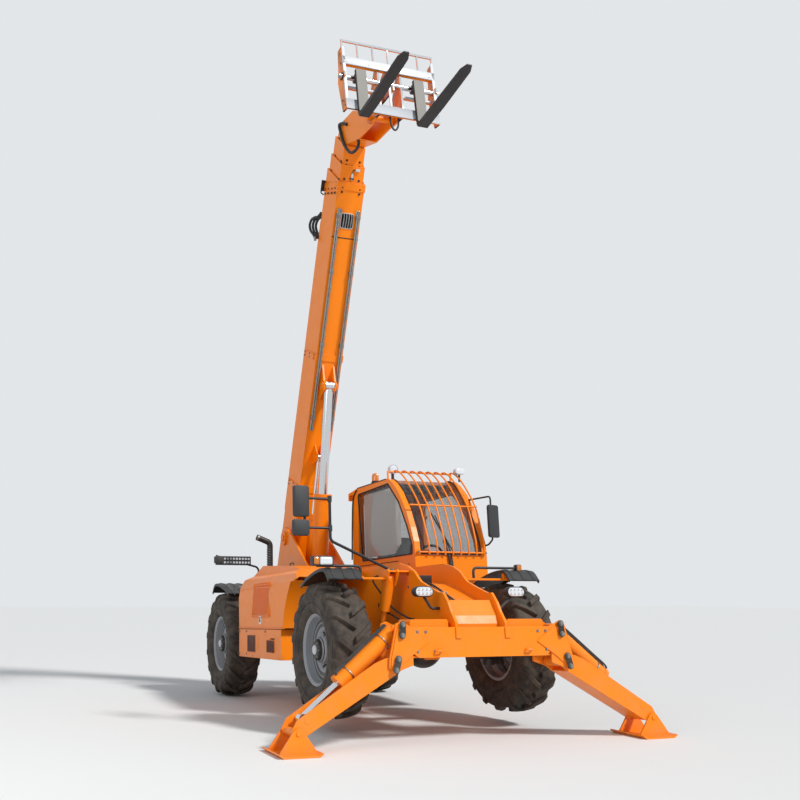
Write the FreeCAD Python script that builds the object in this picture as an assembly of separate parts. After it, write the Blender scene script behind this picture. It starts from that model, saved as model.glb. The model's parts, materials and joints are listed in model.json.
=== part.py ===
import FreeCAD, Part
import math
import os

os.makedirs("parts", exist_ok=True)

# A telehandler with a four-stage boom, a side cab and two front stabilisers, in millimetres.
# +X is the driver's left, where the cab stands; -Y is the front; +Z is up.
# Everything is first drawn on level ground, midway between the axles at ground level.
# The stabilisers then lift the nose, which turns the machine about its rear axle by PITCH.

# Fits and running gaps
RUN = 0.05
SIDE_GAP = 5.0
FACE_GAP = 0.4
OVERLAP = 1.0

# Wheels and axles
WHEELBASE = 3268.0
TRACK = 1944.0
TYRE_RADIUS = 632.0
TYRE_WIDTH = 400.0
RIM_RADIUS = 318.0
LUG_DEPTH = 34.0
LUGS_PER_SIDE = 16
TYRE_FACETS = 24
BEAD_GAP = 0.3
KINGPIN_INSET = 237.0
STEER_LIMIT = 35.0
STEER_GAP = 12.0
AXLE_HALF_DEPTH = 85.0
TRUNNION_RADIUS = 70.0
HANGER_NEAR = 172.0
HANGER_THICK = 22.0
SPINDLE_RADIUS = 58.0
SPINDLE_DEPTH = 30.0
KINGPIN_RADIUS = 30.0
YOKE_LOW = 70.0
YOKE_HIGH = 112.0
KNUCKLE_GAP = 5.0
KNUCKLE_LUG = 56.0
PITCH = 2.04

AXLE_Y = WHEELBASE / 2
FRONT_Y = -AXLE_Y
WHEEL_X = TRACK / 2
KINGPIN_X = WHEEL_X - KINGPIN_INSET
X_AXIS = FreeCAD.Vector(1, 0, 0)
Y_AXIS = FreeCAD.Vector(0, 1, 0)
Z_AXIS = FreeCAD.Vector(0, 0, 1)

# Chassis
RAIL_INNER = 235.0
RAIL_THICK = 26.0
RAIL_OUTER = RAIL_INNER + RAIL_THICK
RAIL_TOP = 1450.0
RAIL_BOTTOM = 470.0
PLATE = 16.0
BEAM_FRONT = FRONT_Y - 1126.0
BEAM_DEPTH = 290.0
BEAM_TOP = 838.0
BEAM_BOTTOM = 585.0
BEAM_HALF = 690.0
BEAM_COVER = 67.0

# Boom: pivot, angle above the machine's own level, and the sections from the outside in
PIVOT_Y = AXLE_Y - 14.0
PIVOT_Z = 1970.0
BOOM_ANGLE = 67.4
BOOM_LOWEST = -3.5
BOOM_HIGHEST = 70.0
BOOM_DROP = 105.0
PIVOT_PIN = 42.0
END_RAKE = 0.40
# Drawn level with the pivot at the origin and the front at -Y.
# Columns: node, width, depth, wall, tail (distance of the rear end from the pivot), front end at the bottom
STAGES = (
    ("boom_base", 360.0, 450.0, 12.0, -250.0, 4680.0),
    ("boom_section_2", 320.0, 402.0, 10.0, 140.0, 4885.0),
    ("boom_section_3", 284.0, 362.0, 8.0, 320.0, 5120.0),
    ("boom_head", 252.0, 326.0, 8.0, 500.0, 5132.0),
)
BASE_BANDS = (700.0, 2450.0, STAGES[0][5] - 60.0)
BAND_HALF = 45.0
TRAY_REAR = 300.0
TRAY_FRONT = STAGES[0][5] - 520.0
TRAY_HEIGHT = 80.0
PIPE_START = 1500.0
PIPE_END = STAGES[0][5] - 380.0
PIPE_CLAMPS = (1670.0, 2620.0, 3550.0, PIPE_END - 50.0)

# Boom head and the cylinder that levels the forks
HEAD_PIN = 36.0
HEAD_PIN_Y = PIVOT_Y - 2785.0
HEAD_PIN_Z = 6640.0
HEAD_CHEEK = 18.0
HEAD_CHIN_BACK = 222.0
HEAD_CHIN_RISE = 335.0
HEAD_LUG = 24.0
TILT_FOOT_Y = -STAGES[3][5] - 3.0
TILT_FOOT_Z = 137.0
TILT_PIN = 24.0
TILT_HALF = 30.0
TILT_ARM = 280.0
TILT_BARREL = 50.0
TILT_ROD = 26.0
TILT_BARREL_LENGTH = 480.0

# Cylinders between chassis and boom
LIFT_ALONG = 2100.0
LIFT_BELOW = 200.0
LEVEL_ALONG = 1165.0
LEVEL_BELOW = 175.0
LIFT_FOOT = (AXLE_Y - 434.0, 850.0)
LEVEL_FOOT = (AXLE_Y - 154.0, 1500.0)
FOOT_WALL = 26.0
# Columns: name, foot (y, z), eye along, eye below, barrel radius, rod radius, half width, barrel length, pin radius
CYLINDERS = (
    ("lift", LIFT_FOOT, LIFT_ALONG, LIFT_BELOW, 108.0, 58.0, 56.0, 1655.0, 42.0),
    ("level", LEVEL_FOOT, LEVEL_ALONG, LEVEL_BELOW, 48.0, 25.0, 30.0, 800.0, 25.0),
)

# Cab
CAB_INNER = 270.0
CAB_OUTER = 1150.0
CAB_WALL = 44.0
CAB_FLOOR = 800.0
CAB_ROOF = 2500.0
CAB_FRONT = FRONT_Y + 589.0
CAB_REAR = AXLE_Y - 1034.0
WHEEL_ARCH = TYRE_RADIUS + 298.0
WINDOW_MARGIN = 75.0
GLASS = 6.0
DOOR_REAR = CAB_REAR - 220.0
DOOR_FRAME = 70.0
HINGE_OUT = 20.0
HINGE_KNUCKLE = 13.0
HINGE_PIN = 7.0
DOOR_HINGES = (1050.0, 2150.0)
SIDE_WINDOW = ((CAB_REAR - 170, 1700), (CAB_REAR - 205, 2415), (CAB_FRONT + 605, 2435), (CAB_FRONT + 345, 2195),
               (CAB_FRONT + 165, 1910), (CAB_FRONT + 60, 1690), (CAB_FRONT + 60, 1600), (CAB_REAR - 300, 1600))
DOOR_WINDOW = ((DOOR_REAR - DOOR_FRAME, 1250), (DOOR_REAR - DOOR_FRAME, 2350), (CAB_FRONT + 645, 2350),
               (CAB_FRONT + 455, 2190), (CAB_FRONT + 305, 1990), (CAB_FRONT + 205, 1780), (CAB_FRONT + 155, 1560),
               (CAB_FRONT + 155, 1420), (CAB_FRONT + 285, 1250))
SCREEN = ((CAB_FRONT - 55, 1590), (CAB_FRONT + 245, 1590), (CAB_FRONT + 745, 2400), (CAB_FRONT + 715, 2600),
          (CAB_FRONT - 55, 2600))
PANE_NEAR = CAB_INNER + WINDOW_MARGIN
PANE_FAR = CAB_OUTER - WINDOW_MARGIN

# Engine pod on the other side
POD_INNER = -285.0
POD_OUTER = -1130.0
POD_FRONT = FRONT_Y + 994.0
POD_REAR = AXLE_Y - 784.0
POD_TOP = 1470.0
POD_SPLIT = 818.0
POD_BOTTOM = 500.0
BONNET_WALL = 14.0
BONNET_HINGES = (POD_FRONT + 260.0, POD_REAR - 370.0)
BONNET_HINGE_X = POD_INNER - 5.0
BONNET_HINGE_Z = POD_TOP + 12.0

# Stabilisers
LEG_PIN_X = 850.0
LEG_PIN_Z = 535.0
RAM_PIN_X = 792.0
RAM_PIN_Z = 817.0
FOOT_X = 1734.0
FOOT_Z = 18.0
LEG_UP = 82.0
LEG_DOWN = -6.0
LEG_RUN_X = FOOT_X - LEG_PIN_X
LEG_FALL = LEG_PIN_Z - FOOT_Z
LEG_LENGTH = math.hypot(LEG_RUN_X, LEG_FALL)
LEG_ANGLE = math.degrees(math.atan2(LEG_FALL, LEG_RUN_X))
LEG_MID_Y = BEAM_FRONT + BEAM_DEPTH / 2 - PLATE / 2
LEG_HALF = BEAM_DEPTH / 2 - PLATE / 2 - SIDE_GAP
LEG_CHEEK = 14.0
RAM_ALONG = 900.0
RAM_ABOVE = 42.0
RAM_PIN = 22.0
RAM_EYE = 46.0
RAM_BARREL = 74.0
RAM_BARREL_END = 690.0
RAM_BORE_START = 58.0
RAM_ROD = 34.0
PAD_LENGTH = 380.0
PAD_WIDTH = 460.0
PAD_PLATE = 16.0
PAD_LIP = 26.0

# Fork carriage
FORK_LENGTH = 1090.0
FORK_WIDTH = 125.0
FORK_THICK = 45.0
CARRIAGE_HALF = 590.0
CARRIAGE_SIDE = 18.0
SHAFT_RADIUS = 30.0
SHAFT_Y = PIVOT_Y - 3017.0
SHAFT_Z = 6948.0
FORK_RISE = 6.4
FORK_FACE = 62.0
FORK_HEEL = 571.0
FORK_RIGHT_X = -400.0
FORK_LEFT_X = 330.0
FORK_REACH = CARRIAGE_HALF - CARRIAGE_SIDE - FORK_WIDTH / 2 - SIDE_GAP

# Mudguards, from the wheel's own centre
GUARD_IN = WHEEL_X - 182.0
GUARD_OUT = WHEEL_X + 168.0
GUARD_WALL = 12.0
GUARD_RIB = 7.0
# Columns: distance from the axle away from the machine's middle, height above the axle
GUARD_ARC = ((-366.0, TYRE_RADIUS - 48.0), (-204.0, TYRE_RADIUS + 34.0), (66.0, TYRE_RADIUS + 109.0),
             (276.0, TYRE_RADIUS + 112.0), (386.0, TYRE_RADIUS + 16.0))
ARM_OUT = 240.0
ARM_Z = TYRE_RADIUS + 668.0
ARM_END = GUARD_IN + 60.0
LAMP_RAIL_Z = ARM_Z + 104.0
BRACKET_TOP = 1366.0


def vec(x, y, z):
    return FreeCAD.Vector(x, y, z)


def box(x0, x1, y0, y1, z0, z1):
    return Part.makeBox(x1 - x0, y1 - y0, z1 - z0, vec(x0, y0, z0))


def side_plate(outline, x0, x1):
    """A plate whose outline of (y, z) points is drawn from the side."""
    points = [vec(x0, y, z) for y, z in outline]
    return Part.Face(Part.makePolygon(points + points[:1])).extrude(vec(x1 - x0, 0, 0))


def front_plate(outline, y0, y1):
    """A plate whose outline of (x, z) points is drawn from the front."""
    points = [vec(x, y0, z) for x, z in outline]
    return Part.Face(Part.makePolygon(points + points[:1])).extrude(vec(0, y1 - y0, 0))


def rod(start, end, radius):
    axis = vec(*end) - vec(*start)
    return Part.makeCylinder(radius, axis.Length, vec(*start), axis)


def cross_pin(y, z, radius, x0, x1):
    return rod((x0, y, z), (x1, y, z), radius)


def bent_tube(points, bend, radius):
    """A round tube through the points, with an arc of the bend radius at each corner."""
    points = [vec(*p) for p in points]
    edges = []
    last = points[0]
    for before, corner, after in zip(points, points[1:], points[2:]):
        back = (before - corner).normalize()
        ahead = (after - corner).normalize()
        half = back.getAngle(ahead) / 2
        reach = bend / math.tan(half)
        start = corner + back * reach
        end = corner + ahead * reach
        middle = (back + ahead).normalize() * (bend / math.sin(half) - bend) + corner
        edges.append(Part.LineSegment(last, start).toShape())
        edges.append(Part.Arc(start, middle, end).toShape())
        last = end
    edges.append(Part.LineSegment(last, points[-1]).toShape())
    path = Part.Wire(edges)
    ring = Part.Wire(Part.makeCircle(radius, points[0], points[1] - points[0]))
    return path.makePipeShell([ring], True, False)


def bent_bar(line, x, width, thick):
    """A flat bar that follows a line of (y, z) points, each face offset by half its thickness."""
    outer = []
    inner = []
    last = len(line) - 1
    for k, (y, z) in enumerate(line):
        y0, z0 = line[max(k - 1, 0)]
        y1, z1 = line[min(k + 1, last)]
        run = math.hypot(y1 - y0, z1 - z0)
        off_y = -(z1 - z0) / run * thick / 2
        off_z = (y1 - y0) / run * thick / 2
        outer.append((y + off_y, z + off_z))
        inner.append((y - off_y, z - off_z))
    return side_plate(outer + inner[::-1], x - width / 2, x + width / 2)


def oval(x, z, width, height):
    """An outline of (x, z) points with flat top and bottom and rounded ends."""
    flat = (width - height) / 2
    points = []
    for side in (1, -1):
        for k in range(7):
            angle = math.radians(-90 + 30 * k)
            points.append((x + side * (flat + height / 2 * math.cos(angle)), z + side * height / 2 * math.sin(angle)))
    return points


def fused(*shapes):
    return shapes[0].multiFuse(list(shapes[1:])).removeSplitter()


def mirrored(shape):
    return shape.mirror(vec(0, 0, 0), X_AXIS)


def turned(shape, centre, axis, angle):
    copy = shape.copy()
    copy.rotate(vec(*centre), axis, angle)
    return copy


def moved(shape, x, y, z):
    copy = shape.copy()
    copy.translate(vec(x, y, z))
    return copy


def pitched(shape):
    """Turns what the chassis carries nose up about the rear axle."""
    return turned(shape, (0, AXLE_Y, TYRE_RADIUS), X_AXIS, -PITCH)


def pitched_point(x, y, z):
    return tuple(pitched(Part.Vertex(vec(x, y, z))).Point)


def raised(shape):
    """Takes a shape drawn on a level boom, with its pivot at the origin, to the boom's own place."""
    return moved(turned(shape, (0, 0, 0), X_AXIS, -BOOM_ANGLE), 0, PIVOT_Y, PIVOT_Z)


def raised_point(x, y, z):
    return tuple(raised(Part.Vertex(vec(x, y, z))).Point)


nodes = {}


def chassis_node(name, shape):
    nodes[name] = pitched(shape)


# Tyre: a ring of flat facets, with bars that run from the centre line out over each shoulder.
# Columns: distance from the tyre's mid plane, radius
TREAD_BASE = TYRE_RADIUS - LUG_DEPTH
CARCASS = ((-126, RIM_RADIUS + BEAD_GAP), (-196, 470), (-166, TREAD_BASE - 8), (166, TREAD_BASE - 8), (196, 470),
           (126, RIM_RADIUS + BEAD_GAP))
# Columns: distance from the mid plane, turn along the tread, half the bar's thickness, inner and outer radius
LUG = (
    (-6, 0, 26, TREAD_BASE - 40, TYRE_RADIUS - 1),
    (160, 136, 31, TREAD_BASE - 50, TYRE_RADIUS - 30),
    (200, 158, 33, TYRE_RADIUS - 150, TYRE_RADIUS - 110),
)


def faceted_ring(profile, count):
    rings = []
    for x, radius in profile:
        reach = radius / math.cos(math.pi / count)
        turns = [2 * math.pi * (k + 0.5) / count for k in range(count)]
        rings.append([vec(x, reach * math.sin(a), reach * math.cos(a)) for a in turns])
    faces = []
    for ring, following in zip(rings, rings[1:] + rings[:1]):
        for k in range(count):
            after = (k + 1) % count
            corners = [ring[k], ring[after], following[after], following[k]]
            faces.append(Part.Face(Part.makePolygon(corners + corners[:1])))
    return Part.makeSolid(Part.makeShell(faces))


def lug_bar():
    rings = []
    for x, along, half, low, high in LUG:
        rings.append([vec(x, along - half, low), vec(x, along + half, low),
                      vec(x, along + half, high), vec(x, along - half, high)])
    faces = [Part.Face(Part.makePolygon(ring + ring[:1])) for ring in (rings[0], rings[-1])]
    for ring, following in zip(rings, rings[1:]):
        for k in range(4):
            after = (k + 1) % 4
            corners = [ring[k], ring[after], following[after], following[k]]
            faces.append(Part.Face(Part.makePolygon(corners + corners[:1])))
    return Part.makeSolid(Part.makeShell(faces))


def tyre():
    carcass = faceted_ring(CARCASS, TYRE_FACETS)
    lugs = []
    step = 360.0 / LUGS_PER_SIDE
    one = lug_bar()
    other = mirrored(one)
    for k in range(LUGS_PER_SIDE):
        lugs.append(turned(one, (0, 0, 0), X_AXIS, k * step))
        lugs.append(turned(other, (0, 0, 0), X_AXIS, (k + 0.5) * step))
    return carcass.multiFuse(lugs).removeSplitter()


def steered_tyre(end, side, angle):
    """The room that a tyre takes with its wheel steered, seen as a plain drum with some air around it."""
    half = TYRE_WIDTH / 2 + STEER_GAP
    y = end * AXLE_Y
    drum = cross_pin(y, TYRE_RADIUS, TYRE_RADIUS + STEER_GAP, side * WHEEL_X - half, side * WHEEL_X + half)
    return turned(drum, (side * KINGPIN_X, y, TYRE_RADIUS), Z_AXIS, angle)


def clear_of_tyres(shape, end, sides=(-1, 1)):
    drums = [steered_tyre(end, side, STEER_LIMIT * k / 5) for side in sides for k in range(-5, 6)]
    return shape.cut(drums)


def revolved(profile):
    """A closed profile of (x, radius) points turned about the wheel's axle."""
    points = [vec(x, 0, radius) for x, radius in profile]
    face = Part.Face(Part.makePolygon(points + points[:1]))
    return face.revolve(vec(0, 0, 0), X_AXIS, 360)


def rim():
    """The rim with its disc and planetary hub, outside at +X."""
    well = revolved(((-150, 300), (-150, 338), (-138, 338), (-130, RIM_RADIUS), (-60, RIM_RADIUS - 6),
                     (-30, 276), (30, 276), (60, RIM_RADIUS - 6), (130, RIM_RADIUS), (146, 340), (158, 340),
                     (158, 328), (140, 306), (70, 296), (36, 262), (-36, 262), (-68, 296)))
    disc = revolved(((20, 0), (20, 150), (60, 205), (60, 300), (74, 300), (74, 198), (36, 142), (36, 0)))
    hub = revolved(((-20, 0), (-20, 120), (37, 120), (37, 135), (96, 128), (112, 112), (128, 100), (150, 92),
                    (162, 78), (162, 0)))
    return fused(well, disc, hub).cut(cross_pin(0, 0, SPINDLE_RADIUS + RUN, -30, SPINDLE_DEPTH))


def knuckle(side, end):
    """The swivelling knuckle: lugs above and below the axle's yoke, and the spindle that the hub turns on."""
    x = KINGPIN_X - WHEEL_X
    low = YOKE_HIGH + KNUCKLE_GAP
    lugs = []
    for z0, z1 in ((low, low + KNUCKLE_LUG), (-low - KNUCKLE_LUG, -low)):
        middle = (z0 + z1) / 2
        lugs += [rod((x, 0, z0), (x, 0, z1), 62), box(x - 10, x + 92, -66, 66, middle - 17, middle + 17)]
    steer_arm = box(x + 30, x + 100, *sorted((-end * 60, -end * 190)), -78, -44)
    plate_half = low + KNUCKLE_LUG - 12
    body = fused(box(x + 76, x + 112, -105, 105, -plate_half, plate_half), cross_pin(0, 0, 88, x + 100, -24),
                 cross_pin(0, 0, SPINDLE_RADIUS, -30, SPINDLE_DEPTH - 2), steer_arm, *lugs)
    body = body.cut(rod((x, 0, -300), (x, 0, 300), KINGPIN_RADIUS + RUN))
    return body if side > 0 else mirrored(body)


def wheels():
    one_tyre = tyre()
    one_rim = rim()
    # Columns: name, end of the machine (front -1, rear +1), side (left +1, right -1)
    places = (("front_left", -1, 1), ("front_right", -1, -1), ("rear_left", 1, 1), ("rear_right", 1, -1))
    for name, end, side in places:
        x, y, z = pitched_point(side * WHEEL_X, end * AXLE_Y, TYRE_RADIUS)
        for node, shape in (("tyre_" + name, one_tyre), ("rim_" + name, one_rim)):
            shape = shape if side > 0 else mirrored(shape)
            nodes[node] = moved(shape, x, y, z)
        chassis_node("knuckle_" + name, moved(knuckle(side, end), side * WHEEL_X, end * AXLE_Y, TYRE_RADIUS))


def axle(end):
    """A drive axle from kingpin yoke to kingpin yoke, hung in the frame on the trunnions of its differential."""
    y = end * AXLE_Y
    z = TYRE_RADIUS
    yoke_x = KINGPIN_X - 34
    trunnion = HANGER_NEAR + HANGER_THICK + 12
    housing = [cross_pin(y, z, AXLE_HALF_DEPTH, -yoke_x + 90, yoke_x - 90),
               Part.makeSphere(190, vec(0, y, z)).common(box(-190, 190, y - 165, y + 165, z - 190, z + 140)),
               rod((0, y - trunnion, z), (0, y + trunnion, z), TRUNNION_RADIUS)]
    for side in (-1, 1):
        x0, x1 = sorted((side * (yoke_x - 105), side * (yoke_x - 35)))
        housing.append(box(x0, x1, y - 75, y + 75, z - YOKE_HIGH, z + YOKE_HIGH))
        arm0, arm1 = sorted((side * (yoke_x - 60), side * (KINGPIN_X + 30)))
        for low, high in ((YOKE_LOW, YOKE_HIGH), (-YOKE_HIGH, -YOKE_LOW)):
            housing.append(box(arm0, arm1, y - 55, y + 55, z + low, z + high))
            reach = high + KNUCKLE_GAP + KNUCKLE_LUG + 6 if low > 0 else low - KNUCKLE_GAP - KNUCKLE_LUG - 6
            kingpin = rod((side * KINGPIN_X, y, z + low), (side * KINGPIN_X, y, z + reach), KINGPIN_RADIUS)
            housing.append(kingpin)
    return fused(*housing)


def arc_points(centre_y, centre_z, radius, start, end, count):
    """Points of an arc seen from the side; angles in degrees, from the front axis -Y towards +Z."""
    points = []
    for k in range(count + 1):
        angle = math.radians(start + (end - start) * k / count)
        points.append((centre_y - radius * math.cos(angle), centre_z + radius * math.sin(angle)))
    return points


def rail_outline():
    """One side plate of the chassis: curved nose, deck, upright with the boom's pivot, and two axle arches."""
    f = FRONT_Y
    r = AXLE_Y
    nose = [(BEAM_FRONT, BEAM_BOTTOM), (BEAM_FRONT, 878), (f - 1056, 966), (f - 1006, 1053), (f - 926, 1140),
            (f - 856, 1142), (f - 696, 1190), (f - 511, 1255), (f - 476, 1280), (f - 386, 1355), (f - 266, 1408),
            (f - 66, RAIL_TOP)]
    tower = [(r - 1334, RAIL_TOP), (r - 994, 1500), (r - 774, 1600), (r - 624, 1720), (r - 304, 1960)]
    boss = arc_points(PIVOT_Y, PIVOT_Z, 150, 40, 175, 6)
    tail = [(r + 486, 1180), (r + 516, 1080), (r + 516, 640), (r + 376, 560)]
    below = [(r + 266, 780), (r - 254, 780), (r - 394, 600), (r - 574, RAIL_BOTTOM), (f + 574, RAIL_BOTTOM),
             (f + 394, 600), (f + 254, 780), (f - 256, 780), (f - 376, 640), (f - 666, BEAM_BOTTOM)]
    return nose + tower + boss + tail + below


def chassis():
    rail = side_plate(rail_outline(), RAIL_INNER, RAIL_OUTER)
    boss = cross_pin(PIVOT_Y, PIVOT_Z, 88, RAIL_INNER - 30, RAIL_OUTER + 26)
    bore = cross_pin(PIVOT_Y, PIVOT_Z, PIVOT_PIN, RAIL_INNER - 40, RAIL_OUTER + 40)
    side = fused(rail, boss, guard_arm(1)).cut(bore)
    half = RAIL_INNER + OVERLAP
    f = FRONT_Y
    r = AXLE_Y
    plates = []
    # Columns: rear y, front y, rear z, front z of each cross plate between the rails
    for y1, y0, z1, z0 in ((f + 734, f - 216, 1330, 1240), (f - 216, f - 976, 1240, 988), (r - 574, f + 574, 500, 500),
                           (r + 506, r + 266, 800, 640), (f - 266, f - 826, 800, 760)):
        outline = [(y0, z0 - PLATE), (y1, z1 - PLATE), (y1, z1), (y0, z0)]
        plates.append(side_plate(outline, -half, half))
    for end in (-1, 1):
        for face in (-1, 1):
            middle = end * AXLE_Y + face * (HANGER_NEAR + HANGER_THICK / 2)
            y0 = middle - HANGER_THICK / 2
            y1 = middle + HANGER_THICK / 2
            low = TYRE_RADIUS - 105
            tongue = front_plate([(-half, 1000), (-half, 790), (-120, 760), (-110, low + 45), (-70, low), (70, low),
                                  (110, low + 45), (120, 760), (half, 790), (half, 1000)], y0, y1)
            plates.append(tongue.cut(rod((0, y0 - 1, TYRE_RADIUS), (0, y1 + 1, TYRE_RADIUS), TRUNNION_RADIUS + RUN)))
    for y0 in (CAB_FRONT + 405, CAB_REAR - 120):
        plates.append(box(RAIL_OUTER - OVERLAP, CAB_OUTER - 80, y0, y0 + 80, CAB_FLOOR - 40, CAB_FLOOR))
    plates.append(box(-half, half, r + 266, r + 266 + PLATE, 790, 1400))
    plates.append(box(-half, half, f + 254, f + 254 + PLATE, 790, 1300))
    # The bent cover at the nose's tip
    plates.append(side_plate([(f - 926, 1073), (f - 1016, 936), (f - 1046, 865), (f - 1046, 830), (f - 1030, 830),
                              (f - 1030, 862), (f - 1001, 930), (f - 912, 1064)], -half, half))
    return fused(side, mirrored(side), guard_arm(-1), *plates, *bonnet_hinge_lugs())


def build_chassis():
    chassis_node("chassis_frame", chassis())
    chassis_node("front_axle", axle(-1))
    chassis_node("rear_axle", axle(1))


def stabiliser_beam():
    """The cross box at the nose with the clevis plates that carry the legs and their cylinders."""
    y0 = BEAM_FRONT - FACE_GAP
    y1 = BEAM_FRONT + BEAM_DEPTH
    edge = BEAM_HALF
    outer = front_plate([(-edge, BEAM_BOTTOM + 40), (-edge, BEAM_TOP), (edge, BEAM_TOP), (edge, BEAM_BOTTOM + 40),
                         (edge - 60, BEAM_BOTTOM), (-edge + 60, BEAM_BOTTOM)], y0 - PLATE, y0)
    rear = front_plate([(-edge, BEAM_BOTTOM), (-edge, BEAM_TOP), (-RAIL_OUTER, BEAM_TOP), (-RAIL_OUTER, BEAM_BOTTOM)],
                       y1 - PLATE, y1)
    top = box(-edge, -RAIL_OUTER, y0 - OVERLAP, y1, BEAM_TOP - PLATE, BEAM_TOP)
    low = box(-edge, -RAIL_OUTER, y0 - OVERLAP, y1, BEAM_BOTTOM, BEAM_BOTTOM + PLATE)
    cover_top = BEAM_TOP + BEAM_COVER
    cover = front_plate([(-edge + 20, BEAM_TOP - OVERLAP), (-edge + 20, cover_top - 16), (-edge + 36, cover_top),
                         (-RAIL_OUTER - 52, cover_top), (-RAIL_OUTER - 38, cover_top - 16),
                         (-RAIL_OUTER - 38, BEAM_TOP - OVERLAP)], BEAM_FRONT + 60, y1 - 4)
    tongue = box(-RAIL_OUTER - 10, -RAIL_INNER + 14, y0 - PLATE - 12, y0 - PLATE + OVERLAP, BEAM_TOP - 95, BEAM_TOP - 2)
    ear = [(-edge + 1, BEAM_BOTTOM - 60), (-LEG_PIN_X - 20, LEG_PIN_Z - 70), (-LEG_PIN_X - 66, LEG_PIN_Z - 20),
           (-LEG_PIN_X - 60, LEG_PIN_Z + 50), (-RAM_PIN_X - 66, RAM_PIN_Z - 20), (-RAM_PIN_X - 50, RAM_PIN_Z + 52),
           (-RAM_PIN_X, RAM_PIN_Z + 72), (-edge + 1, BEAM_TOP)]
    doubler = [(-edge - 1, BEAM_TOP - 22), (-edge + 145, BEAM_TOP - 126), (-edge - 30, BEAM_BOTTOM + 8),
               (-LEG_PIN_X - 10, LEG_PIN_Z - 52), (-LEG_PIN_X - 50, LEG_PIN_Z - 10), (-LEG_PIN_X - 44, LEG_PIN_Z + 50),
               (-RAM_PIN_X - 48, RAM_PIN_Z - 10), (-RAM_PIN_X - 30, RAM_PIN_Z + 44)]
    shapes = [outer]
    pieces = [rear, top, low, cover, tongue, front_plate(ear, y0 - PLATE, y0), front_plate(ear, y1 - PLATE, y1),
              front_plate(doubler, y0 - PLATE - 10, y0 - PLATE + OVERLAP)]
    for x, z in ((-LEG_PIN_X, LEG_PIN_Z), (-RAM_PIN_X, RAM_PIN_Z)):
        pieces.append(rod((x, y0 - 40, z), (x, y1 + 20, z), 26))
    for piece in pieces:
        shapes += [piece, mirrored(piece)]
    return fused(*shapes)


def leg_point(along, above):
    """A point drawn on the leg, taken to where the leg stands; x and z."""
    a = math.radians(LEG_ANGLE)
    x = LEG_PIN_X + along * math.cos(a) + above * math.sin(a)
    return x, LEG_PIN_Z - along * math.sin(a) + above * math.cos(a)


def leg():
    """A channel open at the top, drawn level along +X with its pivot at the origin."""
    end = LEG_LENGTH
    cheek = [(-50, -40), (-20, -66), (60, -74), (end - 70, -58), (end - 10, -46), (end + 44, 0), (end + 30, 44),
             (end - 40, 86), (300, 104), (150, 104), (60, 90), (-30, 60), (-56, 10)]
    side = front_plate(cheek, -LEG_HALF, -LEG_HALF + LEG_CHEEK)
    other = front_plate(cheek, LEG_HALF - LEG_CHEEK, LEG_HALF)
    floor = front_plate([(60, -74), (end - 70, -58), (end - 70, -44), (60, -60)], -LEG_HALF, LEG_HALF)
    collar = rod((0, -LEG_HALF, 0), (0, LEG_HALF, 0), 50)
    caps = [rod((RAM_ALONG, y0, RAM_ABOVE), (RAM_ALONG, y1, RAM_ABOVE), RAM_PIN + 8)
            for y0, y1 in ((-LEG_HALF - 2, -LEG_HALF + OVERLAP), (LEG_HALF - OVERLAP, LEG_HALF + 2))]
    foot = rod((end, -LEG_HALF, 0), (end, LEG_HALF, 0), 34)
    shape = fused(side, other, floor, collar, foot, *caps)
    shape = shape.cut(rod((0, -400, 0), (0, 400, 0), 26 + RUN))
    return shape.cut(rod((end, -400, 0), (end, 400, 0), 20 + RUN))


def ram_geometry():
    """The length of the stabiliser's cylinder between its pins and its angle below level."""
    end_x, end_z = leg_point(RAM_ALONG, RAM_ABOVE)
    run = end_x - RAM_PIN_X
    fall = RAM_PIN_Z - end_z
    return math.hypot(run, fall), math.degrees(math.atan2(fall, run))


def ram_length(turn):
    """The cylinder's length between pins when the leg stands turn degrees above its rest."""
    a = math.radians(LEG_ANGLE - turn)
    x = LEG_PIN_X + RAM_ALONG * math.cos(a) + RAM_ABOVE * math.sin(a)
    z = LEG_PIN_Z - RAM_ALONG * math.sin(a) + RAM_ABOVE * math.cos(a)
    return math.hypot(x - RAM_PIN_X, z - RAM_PIN_Z)


def ram_barrel():
    """A cylinder barrel along +X from its eye at the origin, hollow for its rod."""
    end = RAM_BARREL_END
    body = fused(rod((0, -45, 0), (0, 45, 0), RAM_EYE), rod((20, 0, 0), (end, 0, 0), RAM_BARREL),
                 rod((end - 40, 0, 0), (end, 0, 0), RAM_BARREL + 6))
    for y0, y1 in ((-LEG_HALF, -45), (45, LEG_HALF)):
        body = body.cut(rod((0, y0, 0), (0, y1, 0), RAM_EYE + 12))
    bore = rod((RAM_BORE_START, 0, 0), (end + 1, 0, 0), RAM_ROD + RUN)
    return body.cut(bore).cut(rod((0, -80, 0), (0, 80, 0), 26 + RUN))


def ram_rod(length):
    """The rod with its eye, and the pin that reaches to the leg's cheeks."""
    start = RAM_BORE_START + length - ram_length(LEG_UP) + 4
    reach = LEG_HALF - LEG_CHEEK - 1
    return fused(rod((length, -40, 0), (length, 40, 0), 40), rod((start, 0, 0), (length - 20, 0, 0), RAM_ROD),
                 rod((length, -reach, 0), (length, reach, 0), RAM_PIN))


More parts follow.
